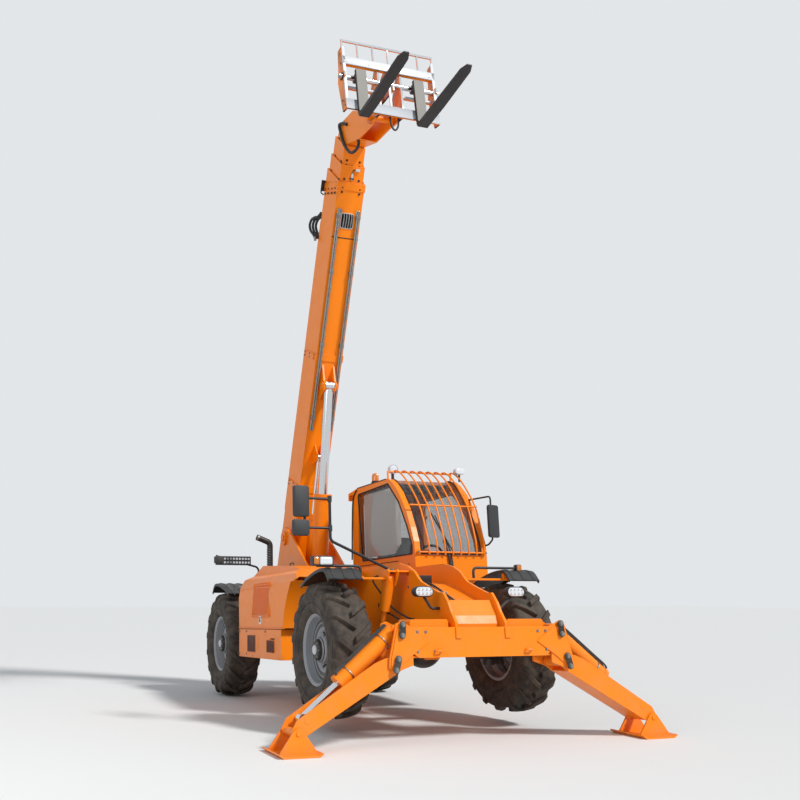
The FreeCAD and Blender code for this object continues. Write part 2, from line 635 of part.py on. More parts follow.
def build_stabilisers():
    chassis_node("stabiliser_beam", stabiliser_beam())
    length, angle = ram_geometry()
    for name, side in (("left", 1), ("right", -1)):
        leg_shape = moved(turned(leg(), (0, 0, 0), Y_AXIS, LEG_ANGLE), LEG_PIN_X, LEG_MID_Y, LEG_PIN_Z)
        barrel = moved(turned(ram_barrel(), (0, 0, 0), Y_AXIS, angle), RAM_PIN_X, LEG_MID_Y, RAM_PIN_Z)
        ram = moved(turned(ram_rod(length), (0, 0, 0), Y_AXIS, angle), RAM_PIN_X, LEG_MID_Y, RAM_PIN_Z)
        for node, shape in (("leg", leg_shape), ("barrel", barrel), ("rod", ram)):
            chassis_node("stabiliser_" + node + "_" + name, shape if side > 0 else mirrored(shape))
        foot = pitched_point(FOOT_X, LEG_MID_Y, FOOT_Z)
        pad = moved(stabiliser_pad(foot[2]), foot[0], foot[1], 0)
        nodes["stabiliser_pad_" + name] = pad if side > 0 else mirrored(pad)


def stabiliser_pad(height):
    """A flat shoe on the ground with turned-up ends, and two cheeks up to the foot pin."""
    half = PAD_LENGTH / 2
    lip = PAD_LIP
    sole = front_plate([(-half + 40, 0), (half - 40, 0), (half, lip), (half - 10, lip + 8), (half - 46, PAD_PLATE),
                        (-half + 46, PAD_PLATE), (-half + 10, lip + 8), (-half, lip)], -PAD_WIDTH / 2, PAD_WIDTH / 2)
    base = half - 24
    cheek = [(-base, PAD_PLATE - 8), (base, PAD_PLATE - 8), (base - 10, PAD_PLATE + 16), (46, height + 14),
             (20, height + 40), (-20, height + 40), (-46, height + 14), (-base + 10, PAD_PLATE + 16)]
    gap = LEG_HALF + SIDE_GAP
    upper = [front_plate(cheek, gap, gap + 16), front_plate(cheek, -gap - 16, -gap),
             rod((0, -gap - 24, height), (0, gap + 24, height), 20)]
    upper = [turned(shape, (0, 0, height), X_AXIS, -PITCH) for shape in upper]
    return fused(sole, *upper)


def stage_box(width, z0, z1, wall, tail, front):
    rake = END_RAKE * (z1 - z0)
    outline = [(-tail, z0), (-front, z0), (-front - rake, z1), (-tail, z1)]
    inner = [(-tail + 200, z0 + wall), (-front - 200, z0 + wall), (-front - rake - 200, z1 - wall),
             (-tail + 200, z1 - wall)]
    outer = side_plate(outline, -width / 2, width / 2)
    return outer.cut(side_plate(inner, -width / 2 + wall, width / 2 - wall))


def stage_levels():
    """The lowest and highest level of each section, each one centred in the one around it."""
    middle = -BOOM_DROP + STAGES[0][2] / 2
    return [(middle - depth / 2, middle + depth / 2) for _, _, depth, _, _, _ in STAGES]


def lug_pair(along, below, length, half_gap, thick, bore, foot):
    """Two lugs under the boom for a cylinder's eye, with the pin's caps on their outer faces."""
    outline = [(-along - length * 0.62, foot), (-along - 75, -below - 20), (-along - 40, -below - 66),
               (-along + 40, -below - 66), (-along + 75, -below - 20), (-along + length * 0.5, foot)]
    shapes = []
    for side in (-1, 1):
        x0, x1 = sorted((side * half_gap, side * (half_gap + thick)))
        shapes.append(side_plate(outline, x0, x1))
        c0, c1 = sorted((side * (half_gap + thick), side * (half_gap + thick + 14)))
        shapes.append(cross_pin(-along, -below, bore + 14, c0, c1))
    return shapes


def boom_base():
    _, width, depth, wall, tail, front = STAGES[0]
    z0, z1 = stage_levels()[0]
    shell = stage_box(width, z0, z1, wall, tail, front)
    half = width / 2
    tray_top = z1 + TRAY_HEIGHT
    tray = side_plate([(-TRAY_REAR, z1 - OVERLAP), (-TRAY_FRONT, z1 - OVERLAP), (-TRAY_FRONT - 170, z1 + 10),
                       (-TRAY_FRONT, tray_top), (-TRAY_REAR, tray_top), (-TRAY_REAR + 100, z1)], -half + 22, half - 22)
    collar = cross_pin(0, 0, 92, -RAIL_INNER + 31, RAIL_INNER - 31)
    lugs = lug_pair(LIFT_ALONG, LIFT_BELOW, 420, 62, 24, 45, z0 + OVERLAP)
    lugs += lug_pair(LEVEL_ALONG, LEVEL_BELOW, 240, 34, 16, 28, z0 + OVERLAP)
    bands = []
    for along in BASE_BANDS:
        y = -along
        top = z1 + (9 if along > TRAY_FRONT else 0)
        ring = box(-half - 9, half + 9, y - BAND_HALF, y + BAND_HALF, z0 - 9, top)
        bands.append(ring.cut(box(-half + 4, half - 4, y - BAND_HALF - 5, y + BAND_HALF + 5, z0 + 4, z1 - 4)))
    base = fused(shell, tray, collar, *(lugs + bands))
    return base.fuse(cross_pin(0, 0, PIVOT_PIN - RUN, -RAIL_OUTER - 40, RAIL_OUTER + 40))


def boom_pipes():
    """Two pairs of steel pipes with clamps along the boom's underside."""
    z = -BOOM_DROP - 30
    pairs = []
    for side in (-1, 1):
        pipes = [rod((side * x, -PIPE_START, z), (side * x, -PIPE_END, z), 11) for x in (122, 146)]
        x0, x1 = sorted((side * 106, side * 162))
        clamps = [box(x0, x1, -y - 22, -y + 22, -BOOM_DROP - 46, -BOOM_DROP) for y in PIPE_CLAMPS]
        pairs.append(fused(*pipes, *clamps))
    return Part.makeCompound(pairs)


def boom_stage(index):
    """A hollow section, with the wear pads round its tail that run inside the section before it."""
    _, width, depth, wall, tail, front = STAGES[index]
    _, outer_width, outer_depth, outer_wall, _, _ = STAGES[index - 1]
    z0, z1 = stage_levels()[index]
    shell = stage_box(width, z0, z1, wall, tail, front)
    half = width / 2
    side = outer_width / 2 - outer_wall - half - FACE_GAP
    above = outer_depth / 2 - outer_wall - depth / 2 - FACE_GAP
    pads = box(-half - side, half + side, -tail - 150, -tail - 20, z0 - above, z1 + above)
    return shell, pads.cut(box(-half + 2, half - 2, -tail - 160, -tail - 10, z0 + 2, z1 - 2))


def head_points():
    """The head pin and the fork shaft on the level boom, from where they stand."""
    a = math.radians(BOOM_ANGLE)
    out = []
    for y, z in ((HEAD_PIN_Y, HEAD_PIN_Z), (SHAFT_Y, SHAFT_Z)):
        dy = y - PIVOT_Y
        dz = z - PIVOT_Z
        out.append((dy * math.cos(a) - dz * math.sin(a), dy * math.sin(a) + dz * math.cos(a)))
    return out


def boom_head():
    """The inmost section with the goose-neck head: two cheeks down to the carriage's pivot pin."""
    shell, pads = boom_stage(3)
    _, width, depth, wall, tail, front = STAGES[3]
    z0, z1 = stage_levels()[3]
    (pin_y, pin_z), _ = head_points()
    chin_y = pin_y + HEAD_CHIN_BACK
    chin_z = pin_z + HEAD_CHIN_RISE
    cheek = [(-front + 130, z0), (-front, z0), (-front, z0 - 45), (chin_y, chin_z), (pin_y + 88, pin_z - 30),
             (pin_y + 40, pin_z - 78), (pin_y - 46, pin_z - 74), (pin_y - 84, pin_z - 20), (pin_y - 98, pin_z + 200),
             (pin_y - 150, pin_z + 640), (pin_y - 40, z1 - 90), (-front - 60, z1), (-front + 130, z1)]
    half = width / 2
    inside = half - 2
    shapes = [shell, pads]
    # The webs between the cheeks: nose, slope and chin
    webs = ([(-front - 60, z1), (-front + 20, z1), (-front + 20, z1 - 14), (-front - 56, z1 - 14)],
            [(pin_y - 40, z1 - 90), (-front - 60, z1), (-front - 56, z1 - 14), (pin_y - 28, z1 - 96)],
            [(-front, z0 - 45), (chin_y, chin_z), (chin_y - 14, chin_z), (-front - 14, z0 - 45)])
    shapes += [side_plate(web, -inside, inside) for web in webs]
    for side in (-1, 1):
        x0, x1 = sorted((side * (half - HEAD_CHEEK), side * half))
        shapes.append(side_plate(cheek, x0, x1))
        x0, x1 = sorted((side * (TILT_HALF + SIDE_GAP), side * inside))
        shapes.append(cross_pin(TILT_FOOT_Y, TILT_FOOT_Z, TILT_PIN + 22, x0, x1))
    shapes.append(cross_pin(TILT_FOOT_Y, TILT_FOOT_Z, TILT_PIN, -inside, inside))
    head = fused(*shapes)
    return head.fuse(cross_pin(pin_y, pin_z, HEAD_PIN - RUN, -half - 60, half + 60))


def build_boom():
    nodes["boom_base"] = pitched(raised(boom_base()))
    nodes["boom_pipes"] = pitched(raised(boom_pipes()))
    for index in (1, 2):
        nodes[STAGES[index][0]] = pitched(raised(fused(*boom_stage(index))))
    nodes["boom_head"] = pitched(raised(boom_head()))


def boom_point(angle, y, z):
    """A point drawn on the level boom, as (y, z), when the boom stands at an angle."""
    a = math.radians(angle)
    return PIVOT_Y + y * math.cos(a) + z * math.sin(a), PIVOT_Z - y * math.sin(a) + z * math.cos(a)


def cylinder_state(foot, along, below, angle):
    """Length between pins and slope of a boom cylinder when the boom stands at an angle."""
    y, z = boom_point(angle, -along, -below)
    return math.hypot(y - foot[0], z - foot[1]), math.degrees(math.atan2(z - foot[1], foot[0] - y))


def boom_cylinder(foot, along, below, barrel_r, rod_r, half, barrel_length, pin_r):
    length, angle = cylinder_state(foot, along, below, BOOM_ANGLE)
    shortest = cylinder_state(foot, along, below, BOOM_LOWEST)[0]
    eye = barrel_r * 0.78
    start = pin_r + FOOT_WALL + 12
    bore = start + 50
    barrel = fused(cross_pin(0, 0, eye, -half, half), rod((0, -eye * 0.5, 0), (0, -start - 5, 0), half - 2),
                   rod((0, -start, 0), (0, -barrel_length, 0), barrel_r),
                   rod((0, -barrel_length + 70, 0), (0, -barrel_length, 0), barrel_r + 8))
    barrel = barrel.cut(rod((0, -bore, 0), (0, -barrel_length - 1, 0), rod_r + RUN))
    barrel = barrel.cut(cross_pin(0, 0, pin_r + RUN, -half - 9, half + 9))
    rod_eye = rod_r * 1.15
    inner_end = bore + length - shortest + 8
    ram = fused(cross_pin(-length, 0, rod_eye, -half, half),
                rod((0, -inner_end, 0), (0, -length + rod_eye * 0.5, 0), rod_r),
                cross_pin(-length, 0, pin_r, -half - SIDE_GAP + 1, half + SIDE_GAP - 1))

    def place(shape):
        return pitched(moved(turned(shape, (0, 0, 0), X_AXIS, -angle), 0, *foot))
    return place(barrel), place(ram)


def cylinder_foot(y, z, half, pin_r):
    """Two lugs and a pin across the rails for a cylinder's foot."""
    shapes = [cross_pin(y, z, pin_r, -RAIL_INNER, RAIL_INNER)]
    for side in (-1, 1):
        x0, x1 = sorted((side * (half + SIDE_GAP), side * (half + SIDE_GAP + 30)))
        shapes.append(cross_pin(y, z, pin_r + FOOT_WALL, x0, x1))
        x0, x1 = sorted((side * (RAIL_INNER - 40), side * RAIL_INNER))
        shapes.append(cross_pin(y, z, pin_r + 40, x0, x1))
    return fused(*shapes)


def tilt_eye():
    """Where the tilt cylinder's rod meets the carriage, on the level boom at rest."""
    a = math.radians(FORK_RISE - BOOM_ANGLE)
    (head_y, head_z), _ = head_points()
    return head_y + TILT_ARM * math.sin(a), head_z + TILT_ARM * math.cos(a)


def build_tilt_cylinder():
    eye_y, eye_z = tilt_eye()
    length = math.hypot(eye_y - TILT_FOOT_Y, eye_z - TILT_FOOT_Z)
    angle = math.degrees(math.atan2(eye_z - TILT_FOOT_Z, TILT_FOOT_Y - eye_y))
    start = TILT_PIN + 22 + 10
    barrel = fused(cross_pin(0, 0, TILT_PIN + 20, -TILT_HALF, TILT_HALF),
                   rod((0, -30, 0), (0, -start - 5, 0), TILT_HALF - 2),
                   rod((0, -start, 0), (0, -TILT_BARREL_LENGTH, 0), TILT_BARREL))
    barrel = barrel.cut(rod((0, -70, 0), (0, -TILT_BARREL_LENGTH - 1, 0), TILT_ROD + RUN))
    barrel = barrel.cut(cross_pin(0, 0, TILT_PIN + RUN, -TILT_HALF - 40, TILT_HALF + 40))
    ram = fused(cross_pin(-length, 0, TILT_ROD + 12, -TILT_HALF, TILT_HALF),
                rod((0, -TILT_BARREL_LENGTH + 90, 0), (0, -length + 20, 0), TILT_ROD))
    for node, shape in (("tilt_barrel", barrel), ("tilt_rod", ram)):
        shape = moved(turned(shape, (0, 0, 0), X_AXIS, -angle), 0, TILT_FOOT_Y, TILT_FOOT_Z)
        nodes[node] = pitched(raised(shape))


def build_boom_cylinders():
    for name, *sizes in CYLINDERS:
        nodes[name + "_barrel"], nodes[name + "_rod"] = boom_cylinder(*sizes)
    feet = [cylinder_foot(*foot, half, pin_r) for _, foot, _, _, _, _, half, _, pin_r in CYLINDERS]
    chassis_node("cylinder_feet", Part.makeCompound(feet))


def carriage_place(shape):
    """Takes a shape drawn with the fork shaft at the origin and level forks to its place."""
    return pitched(moved(turned(shape, (0, 0, 0), X_AXIS, -FORK_RISE), 0, SHAFT_Y, SHAFT_Z))


def carriage_point(y, z):
    a = math.radians(FORK_RISE)
    dy = y - SHAFT_Y
    dz = z - SHAFT_Z
    return (dy * math.cos(a) - dz * math.sin(a), dy * math.sin(a) + dz * math.cos(a))


def fork_inner_stop():
    """How near the middle a fork can slide before it meets the lugs of the boom's head."""
    return STAGES[3][1] / 2 + SIDE_GAP + HEAD_LUG + SIDE_GAP + FORK_WIDTH / 2


def fork_carriage():
    """The fork frame: side plates, cross bars, load guard, shaft and the lugs that the boom head carries."""
    half = CARRIAGE_HALF
    side = [(-30, 400), (70, 400), (100, 120), (130, 0), (110, -130), (60, -440), (-30, -460), (-52, -440),
            (-52, -330), (-30, -330), (-30, -40), (-62, -30), (-62, 40), (-30, 60)]
    shapes = []
    for s in (-1, 1):
        x0, x1 = sorted((s * half, s * (half - CARRIAGE_SIDE)))
        shapes.append(side_plate(side, x0, x1))
    shapes.append(box(-half + 1, half - 1, -52, -30, -460, -330))
    shapes.append(box(-half + 1, half - 1, -30, 10, 160, 240))
    shapes.append(box(-half + 1, half - 1, -34, -18, 470, 500))
    for k in range(7):
        x = -half + 9 + k * (2 * half - 18) / 6
        shapes.append(box(x - 9, x + 9, -33, -19, 238, 472))
    shapes.append(cross_pin(0, 0, SHAFT_RADIUS, -half - 40, half + 40))
    pin_y, pin_z = carriage_point(HEAD_PIN_Y, HEAD_PIN_Z)
    lug = [(-20, 200), (60, 200), (pin_y + 70, pin_z + 40), (pin_y + 60, pin_z - 50), (pin_y, pin_z - 80),
           (-36, -420), (-36, -350), (-20, -330)]
    eye = pin_z + TILT_ARM
    tilt_lug = [(-20, eye - 70), (-20, eye + 170), (-5, eye + 200), (pin_y + 30, eye + 44), (pin_y + 52, eye),
                (pin_y + 30, eye - 44)]
    gap = STAGES[3][1] / 2 + SIDE_GAP
    tilt_gap = TILT_HALF + SIDE_GAP
    # Columns: outline, near side, thickness
    for outline, near, thick in ((lug, gap, HEAD_LUG), (tilt_lug, tilt_gap, 18)):
        for s in (-1, 1):
            x0, x1 = sorted((s * near, s * (near + thick)))
            shapes.append(side_plate(outline, x0, x1))
    for s in (-1, 1):
        c0, c1 = sorted((s * (tilt_gap + 18), s * (tilt_gap + 28)))
        shapes.append(cross_pin(pin_y, eye, 32, c0, c1))
        t0, t1 = sorted((s * (gap + HEAD_LUG - 1), s * (half - CARRIAGE_SIDE + 1)))
        shapes.append(cross_pin(40, -110, 24, t0, t1))
    carriage = fused(*shapes)
    return carriage.cut(cross_pin(pin_y, pin_z, HEAD_PIN, -gap - 40, gap + 40))


def fork(x):
    """One tine: its eye on the shaft, the shank and the tapering blade with its corners taken off."""
    heel = -FORK_HEEL
    back = -FORK_FACE
    front = back - FORK_THICK
    tip = back - FORK_LENGTH
    outline = [(back, 60), (back, heel + 40), (back - 20, heel), (-500, heel), (tip, heel + FORK_THICK - 14),
               (tip, heel + FORK_THICK), (front - 22, heel + FORK_THICK), (front, heel + FORK_THICK + 22), (front, 60)]
    half = FORK_WIDTH / 2
    shank = side_plate(outline, x - half, x + half)
    plan = [(x - half, tip + 90), (x - half + 34, tip), (x + half - 34, tip), (x + half, tip + 90), (x + half, 0),
            (x - half, 0)]
    points = [vec(px, py, heel - 10) for px, py in plan]
    blade = Part.Face(Part.makePolygon(points + points[:1])).extrude(vec(0, 0, FORK_HEEL + 100))
    shank = shank.common(blade)
    eye = cross_pin(0, 0, SHAFT_RADIUS + 24, x - 42, x + 42)
    neck = side_plate([(back - 8, -40), (back - 8, 40), (0, 40), (0, -40)], x - 42, x + 42)
    return fused(shank, eye, neck).cut(cross_pin(0, 0, SHAFT_RADIUS + RUN, x - 50, x + 50))


def build_carriage():
    nodes["fork_carriage"] = carriage_place(fork_carriage())
    nodes["fork_right"] = carriage_place(fork(FORK_RIGHT_X))
    nodes["fork_left"] = carriage_place(fork(FORK_LEFT_X))


def cab_profile(inset):
    """The cab seen from the side, drawn in by an inset: rear wall, roof, curved front and wheel arch."""
    floor_angle = math.degrees(math.asin((CAB_FLOOR + inset - TYRE_RADIUS) / (WHEEL_ARCH + inset)))
    arch = arc_points(FRONT_Y, TYRE_RADIUS, WHEEL_ARCH + inset, 180 - floor_angle, 133, 5)
    f = CAB_FRONT + inset
    front = [(f, 1330), (f, 1640), (f + 15, 1730), (f + 80, 1890), (f + 185, 2100), (f + 345, 2310),
             (f + 485 - inset * 0.3, CAB_ROOF - 70), (f + 575 - inset * 0.5, CAB_ROOF - 18 - inset * 0.9),
             (CAB_FRONT + 645, CAB_ROOF - inset)]
    rear = [(CAB_REAR - 180, CAB_ROOF - inset), (CAB_REAR - 40 - inset, CAB_ROOF - 120), (CAB_REAR - inset, 1700),
            (CAB_REAR - inset, CAB_FLOOR + inset)]
    return arch + front + rear


def cab_outside():
    """The cab's outer form with a sheet of air, for cutting what stands on it to fit."""
    return side_plate(cab_profile(-FACE_GAP), CAB_INNER - 50, CAB_OUTER + 50)


def door_outline(inset):
    """The door seen from the side: it follows the cab's curved front and its wheel arch."""
    f = CAB_FRONT + inset
    low = CAB_FLOOR + 60 + inset
    return [(DOOR_REAR - inset, low), (DOOR_REAR - inset, 2420 - inset), (f + 615 - inset * 0.7, 2420 - inset),
            (f + 405 - inset * 0.3, 2230), (f + 245, 2010), (f + 145, 1790), (f + 90, 1560), (f + 90, 1400),
            (f + 285, 1120 + inset * 0.5), (f + 365, low)]


def door_hinge_lugs():
    """The cab's half of the door hinges: lugs above and below each knuckle, and the pins."""
    x = CAB_OUTER + HINGE_OUT
    y = DOOR_REAR
    shapes = []
    for z in DOOR_HINGES:
        for z0, z1 in ((z - 45, z - 25), (z + 25, z + 45)):
            shapes.append(rod((x, y, z0), (x, y, z1), HINGE_KNUCKLE))
            shapes.append(box(CAB_OUTER - OVERLAP, x, y + 2, y + 44, z0, z1))
        shapes.append(rod((x, y, z - 45), (x, y, z + 45), HINGE_PIN))
    return shapes


def door_knuckles():
    x = CAB_OUTER + HINGE_OUT
    y = DOOR_REAR
    shapes = []
    for z in DOOR_HINGES:
        body = fused(rod((x, y, z - 20), (x, y, z + 20), HINGE_KNUCKLE),
                     box(CAB_OUTER - OVERLAP, CAB_OUTER + 10, y - 90, y - 12, z - 20, z + 20),
                     box(CAB_OUTER + 4, x, y - 30, y - 6, z - 20, z + 20))
        shapes.append(body.cut(rod((x, y, z - 30), (x, y, z + 30), HINGE_PIN + RUN)))
    return shapes


def cab_shell():
    outer = side_plate(cab_profile(0), CAB_INNER, CAB_OUTER)
    hollow = side_plate(cab_profile(CAB_WALL), CAB_INNER + CAB_WALL, CAB_OUTER - CAB_WALL)
    screen = side_plate(SCREEN, PANE_NEAR, PANE_FAR)
    cuts = [hollow, side_plate(SIDE_WINDOW, CAB_INNER - 5, CAB_INNER + CAB_WALL + 5),
            side_plate(door_outline(0), CAB_OUTER - CAB_WALL - 5, CAB_OUTER + 5),
            box(PANE_NEAR, PANE_FAR, CAB_FRONT - 155, CAB_FRONT + 145, 1600, 1780),
            box(PANE_NEAR, PANE_FAR, CAB_REAR - 100, CAB_REAR + 100, 1650, 2330),
            screen.cut(side_plate(cab_profile(CAB_WALL), CAB_INNER, CAB_OUTER))]
    shell = outer.cut(cuts)
    lip = side_plate([(CAB_REAR - 180, CAB_ROOF - 4), (CAB_REAR + 100, CAB_ROOF - 40), (CAB_REAR + 100, CAB_ROOF - 130),
                      (CAB_REAR + 80, CAB_ROOF - 130), (CAB_REAR + 60, CAB_ROOF - 70), (CAB_REAR - 60, CAB_ROOF - 70)],
                     CAB_INNER, CAB_OUTER)
    return fused(shell, lip, *door_hinge_lugs())


def cab_glass():
    side = side_plate(SIDE_WINDOW, CAB_INNER + 16, CAB_INNER + 16 + GLASS)
    rear = box(PANE_NEAR, PANE_FAR, CAB_REAR - 25, CAB_REAR - 25 + GLASS, 1650, 2330)
    ring = side_plate(cab_profile(14), PANE_NEAR, PANE_FAR)
    ring = ring.cut(side_plate(cab_profile(14 + GLASS), CAB_INNER + 60, CAB_OUTER - 60))
    screen = ring.common(side_plate(SCREEN, PANE_NEAR, PANE_FAR))
    return Part.makeCompound([side, rear] + screen.Solids)


def cab_door():
    frame = side_plate(door_outline(8), CAB_OUTER - CAB_WALL, CAB_OUTER)
    return fused(frame.cut(side_plate(DOOR_WINDOW, CAB_OUTER - 100, CAB_OUTER + 10)), *door_knuckles())


def door_glass():
    return side_plate(DOOR_WINDOW, CAB_OUTER - 26, CAB_OUTER - 26 + GLASS)


def cab_guard():
    """Bent flat bars in front of the windscreen, on three cross bars with feet on the roof and the front wall."""
    f = CAB_FRONT
    line = [(f - 40, 1590), (f - 36, 1720), (f + 30, 1930), (f + 115, 2139), (f + 275, 2340), (f + 440, 2500),
            (f + 595, 2588), (f + 700, 2595)]
    first = CAB_INNER + 150
    step = (CAB_OUTER - 50 - first) / 7
    bars = [bent_bar(line, first + k * step, 20, 10) for k in range(8)]
    wide = (CAB_INNER + 18, CAB_OUTER - 18)
    bars.append(box(*wide, f - 40, f - 26, 1598, 1630))
    bars.append(box(*wide, f + 112, f + 126, 2122, 2154))
    bars.append(box(*wide, f + 640, f + 672, 2580, 2594))
    for x in (CAB_INNER + 30, CAB_OUTER - 30):
        bars.append(box(x - 12, x + 12, f + 650, f + 662, CAB_ROOF + FACE_GAP, 2590))
        bars.append(box(x - 12, x + 12, f - 36, f - FACE_GAP, 1602, 1626))
    return fused(*bars)


def driver_seat():
    near = CAB_INNER + 190
    far = CAB_OUTER - 190
    r = CAB_REAR
    base = box(near + 40, far - 40, r - 730, r - 300, CAB_FLOOR + CAB_WALL + FACE_GAP, 1150)
    cushion = box(near, far, r - 820, r - 310, 1150, 1270)
    back = side_plate([(r - 400, 1270), (r - 280, 1270), (r - 170, 1900), (r - 270, 1900)], near, far)
    return fused(base, cushion, back)


def cab_console():
    f = CAB_FRONT
    x = (CAB_INNER + CAB_OUTER) / 2
    dash = side_plate([(f + 120, 1370), (f + 325, 1330), (f + 405, 1420), (f + 355, 1520), (f + 120, 1540)],
                      CAB_INNER + CAB_WALL, CAB_OUTER - CAB_WALL - 40)
    column = rod((x, f + 345, 1450), (x, f + 525, 1560), 45)
    wheel = Part.makeTorus(185, 14, vec(x, f + 533, 1565), vec(0, 0.86, 0.51))
    spokes = box(-180, 180, -18, 18, -8, 8)
    spokes = moved(turned(spokes, (0, 0, 0), X_AXIS, -59), x, f + 533, 1565)
    hub = rod((x, f + 515, 1554), (x, f + 550, 1575), 40)
    return fused(dash, column, wheel, spokes, hub)


def build_cab():
    chassis_node("cab_shell", cab_shell())
    chassis_node("cab_glass", cab_glass())
    chassis_node("cab_door", cab_door())
    chassis_node("door_glass", door_glass())
    chassis_node("cab_guard", cab_guard())
    chassis_node("driver_seat", driver_seat())
    chassis_node("cab_console", cab_console())


def bonnet_hinge_lugs():
    """The frame's half of the bonnet hinges on the right rail."""
    x = BONNET_HINGE_X
    z = BONNET_HINGE_Z
    shapes = []
    for y in BONNET_HINGES:
        for y0, y1 in ((y - 32, y - 18), (y + 18, y + 32)):
            shapes.append(rod((x, y0, z), (x, y1, z), HINGE_KNUCKLE))
            shapes.append(box(x, -RAIL_INNER, y0, y1, RAIL_TOP - 1, z + HINGE_KNUCKLE))
        shapes.append(rod((x, y - 32, z), (x, y + 32, z), HINGE_PIN))
    return shapes


def bonnet_form(wall):
    """The bonnet's form, drawn in by its wall: a rounded section, a low hump along the top, a falling nose."""
    section = [(POD_OUTER + 6, POD_SPLIT), (POD_OUTER, 1180), (POD_OUTER + 24, 1300), (POD_OUTER + 80, 1385),
               (POD_OUTER + 190, 1430), (POD_INNER - 60, POD_TOP), (POD_INNER - 30, POD_TOP),
               (POD_INNER - 30, POD_SPLIT)]
    hump = [(POD_OUTER + 170, POD_TOP - 90), (POD_OUTER + 240, POD_TOP + 80), (POD_INNER - 200, POD_TOP + 80),
            (POD_INNER - 150, POD_TOP - 60), (POD_INNER - 150, POD_TOP - 90)]
    side = [(POD_FRONT - 375, POD_SPLIT - 50), (POD_FRONT - 375, 1345), (POD_FRONT - 60, 1440),
            (POD_FRONT + 199, 1488), (POD_REAR - 216, 1546), (POD_REAR - 20, 1440), (POD_REAR, 1400),
            (POD_REAR, POD_SPLIT - 50)]
    if wall:
        section = [(x + wall, z - (wall if z > POD_SPLIT else 40)) for x, z in section[:-2]]
        section += [(POD_INNER, POD_TOP - wall), (POD_INNER, POD_SPLIT - 40)]
        hump = [(x + (wall if k < 2 else -wall), z - wall) for k, (x, z) in enumerate(hump)]
        side = [(y - wall if y >= POD_REAR - 20 else y - 40 if y < POD_FRONT - 300 else y, z - wall) for y, z in side]
    start = POD_FRONT - 450
    body = fused(front_plate(section, start, POD_REAR), front_plate(hump, start, POD_REAR))
    return body.common(side_plate(side, POD_OUTER - 50, POD_INNER + 50))


def pod_arch():
    return cross_pin(FRONT_Y, TYRE_RADIUS, WHEEL_ARCH, POD_OUTER - 50, POD_INNER + 50)


def bonnet():
    """One moulding, open below and towards the boom, with two knuckles on its top edge."""
    shape = bonnet_form(0).cut(bonnet_form(BONNET_WALL)).cut(pod_arch())
    x = BONNET_HINGE_X
    z = BONNET_HINGE_Z
    knuckles = []
    for y in BONNET_HINGES:
        body = fused(rod((x, y - 13, z), (x, y + 13, z), HINGE_KNUCKLE),
                     box(x - 110, x, y - 13, y + 13, POD_TOP - 8, POD_TOP + 7))
        knuckles.append(body.cut(rod((x, y - 20, z), (x, y + 20, z), HINGE_PIN + RUN)))
    return fused(shape, *knuckles)


def build_pod():
    """The engine under its bonnet: a fixed lower box, the bonnet in one moulding, and the engine's block."""
    chassis_node("bonnet", bonnet())
    lower = box(POD_OUTER + 6, POD_INNER - 30, POD_FRONT, POD_REAR, POD_BOTTOM, POD_SPLIT - 6)
    lower = lower.cut(box(POD_OUTER + 22, POD_INNER - 46, POD_FRONT + 16, POD_REAR - 16, POD_BOTTOM + 40, POD_SPLIT))
    for y0 in (POD_FRONT + 120, POD_FRONT + 760):
        lower = lower.cut(box(POD_OUTER, POD_OUTER + 30, y0, y0 + 240, POD_BOTTOM + 110, POD_BOTTOM + 220))
    tie = box(POD_INNER - 31, -RAIL_OUTER - FACE_GAP, POD_FRONT + 240, POD_REAR - 250, POD_BOTTOM + 60, POD_BOTTOM + 160)
    chassis_node("engine_pod", lower.fuse(tie).cut(pod_arch()))
    chassis_node("engine_block", box(POD_OUTER + 230, POD_INNER - 135, POD_FRONT + 260, POD_REAR - 290,
                                     POD_BOTTOM + 40, 1280))


def counterweight():
    r = AXLE_Y
    near = r + 516 + FACE_GAP
    outline = [(near, 560), (r + 726, 600), (r + 806, 740), (r + 806, 1020), (r + 736, 1100), (near, 1120)]
    block = clear_of_tyres(side_plate(outline, -620, 620), 1)
    hitch = fused(box(-60, 60, r + 766, r + 906, 640, 664), box(-60, 60, r + 801, r + 906, 760, 784))
    pin = rod((0, r + 866, 600), (0, r + 866, 830), 16)
    return fused(block, hitch, pin)


def guard_plate(end, inward, outward, x0, x1):
    """A band of the mudguard between two distances from its outer face."""
    faces = []
    for offset in (outward, -inward):
        face = []
        for out, up in GUARD_ARC:
            scale = 1 + offset / math.hypot(out, up)
            face.append((end * (AXLE_Y + out * scale), TYRE_RADIUS + up * scale))
        faces.append(face)
    return side_plate(faces[0] + faces[1][::-1], x0, x1)


def guard_under(out):
    """The height of the mudguard's lower face at a distance from the axle, where the guard is nearly level."""
    (y0, z0), (y1, z1) = GUARD_ARC[2:4]
    s0 = 1 - GUARD_WALL / math.hypot(y0, z0)
    s1 = 1 - GUARD_WALL / math.hypot(y1, z1)
    return TYRE_RADIUS + z0 * s0 + (z1 * s1 - z0 * s0) * (out - y0 * s0) / (y1 * s1 - y0 * s0)


def mudguard(end):
    """A moulded mudguard over the left tyre, with a folded lip outside and raised ribs round its arc."""
    shapes = [guard_plate(end, GUARD_WALL, 0, GUARD_IN, GUARD_OUT),
              guard_plate(end, 34, 0, GUARD_OUT - 8, GUARD_OUT), guard_plate(end, 24, 0, GUARD_IN, GUARD_IN + 8)]
    for k in range(3):
        x = GUARD_IN + 60 + k * (GUARD_OUT - GUARD_IN - 120) / 2
        shapes.append(guard_plate(end, OVERLAP, GUARD_RIB, x - 12, x + 12))
    pieces = clear_of_tyres(fused(*shapes), end, (1,)).Solids
    return max(pieces, key=lambda piece: piece.Volume)


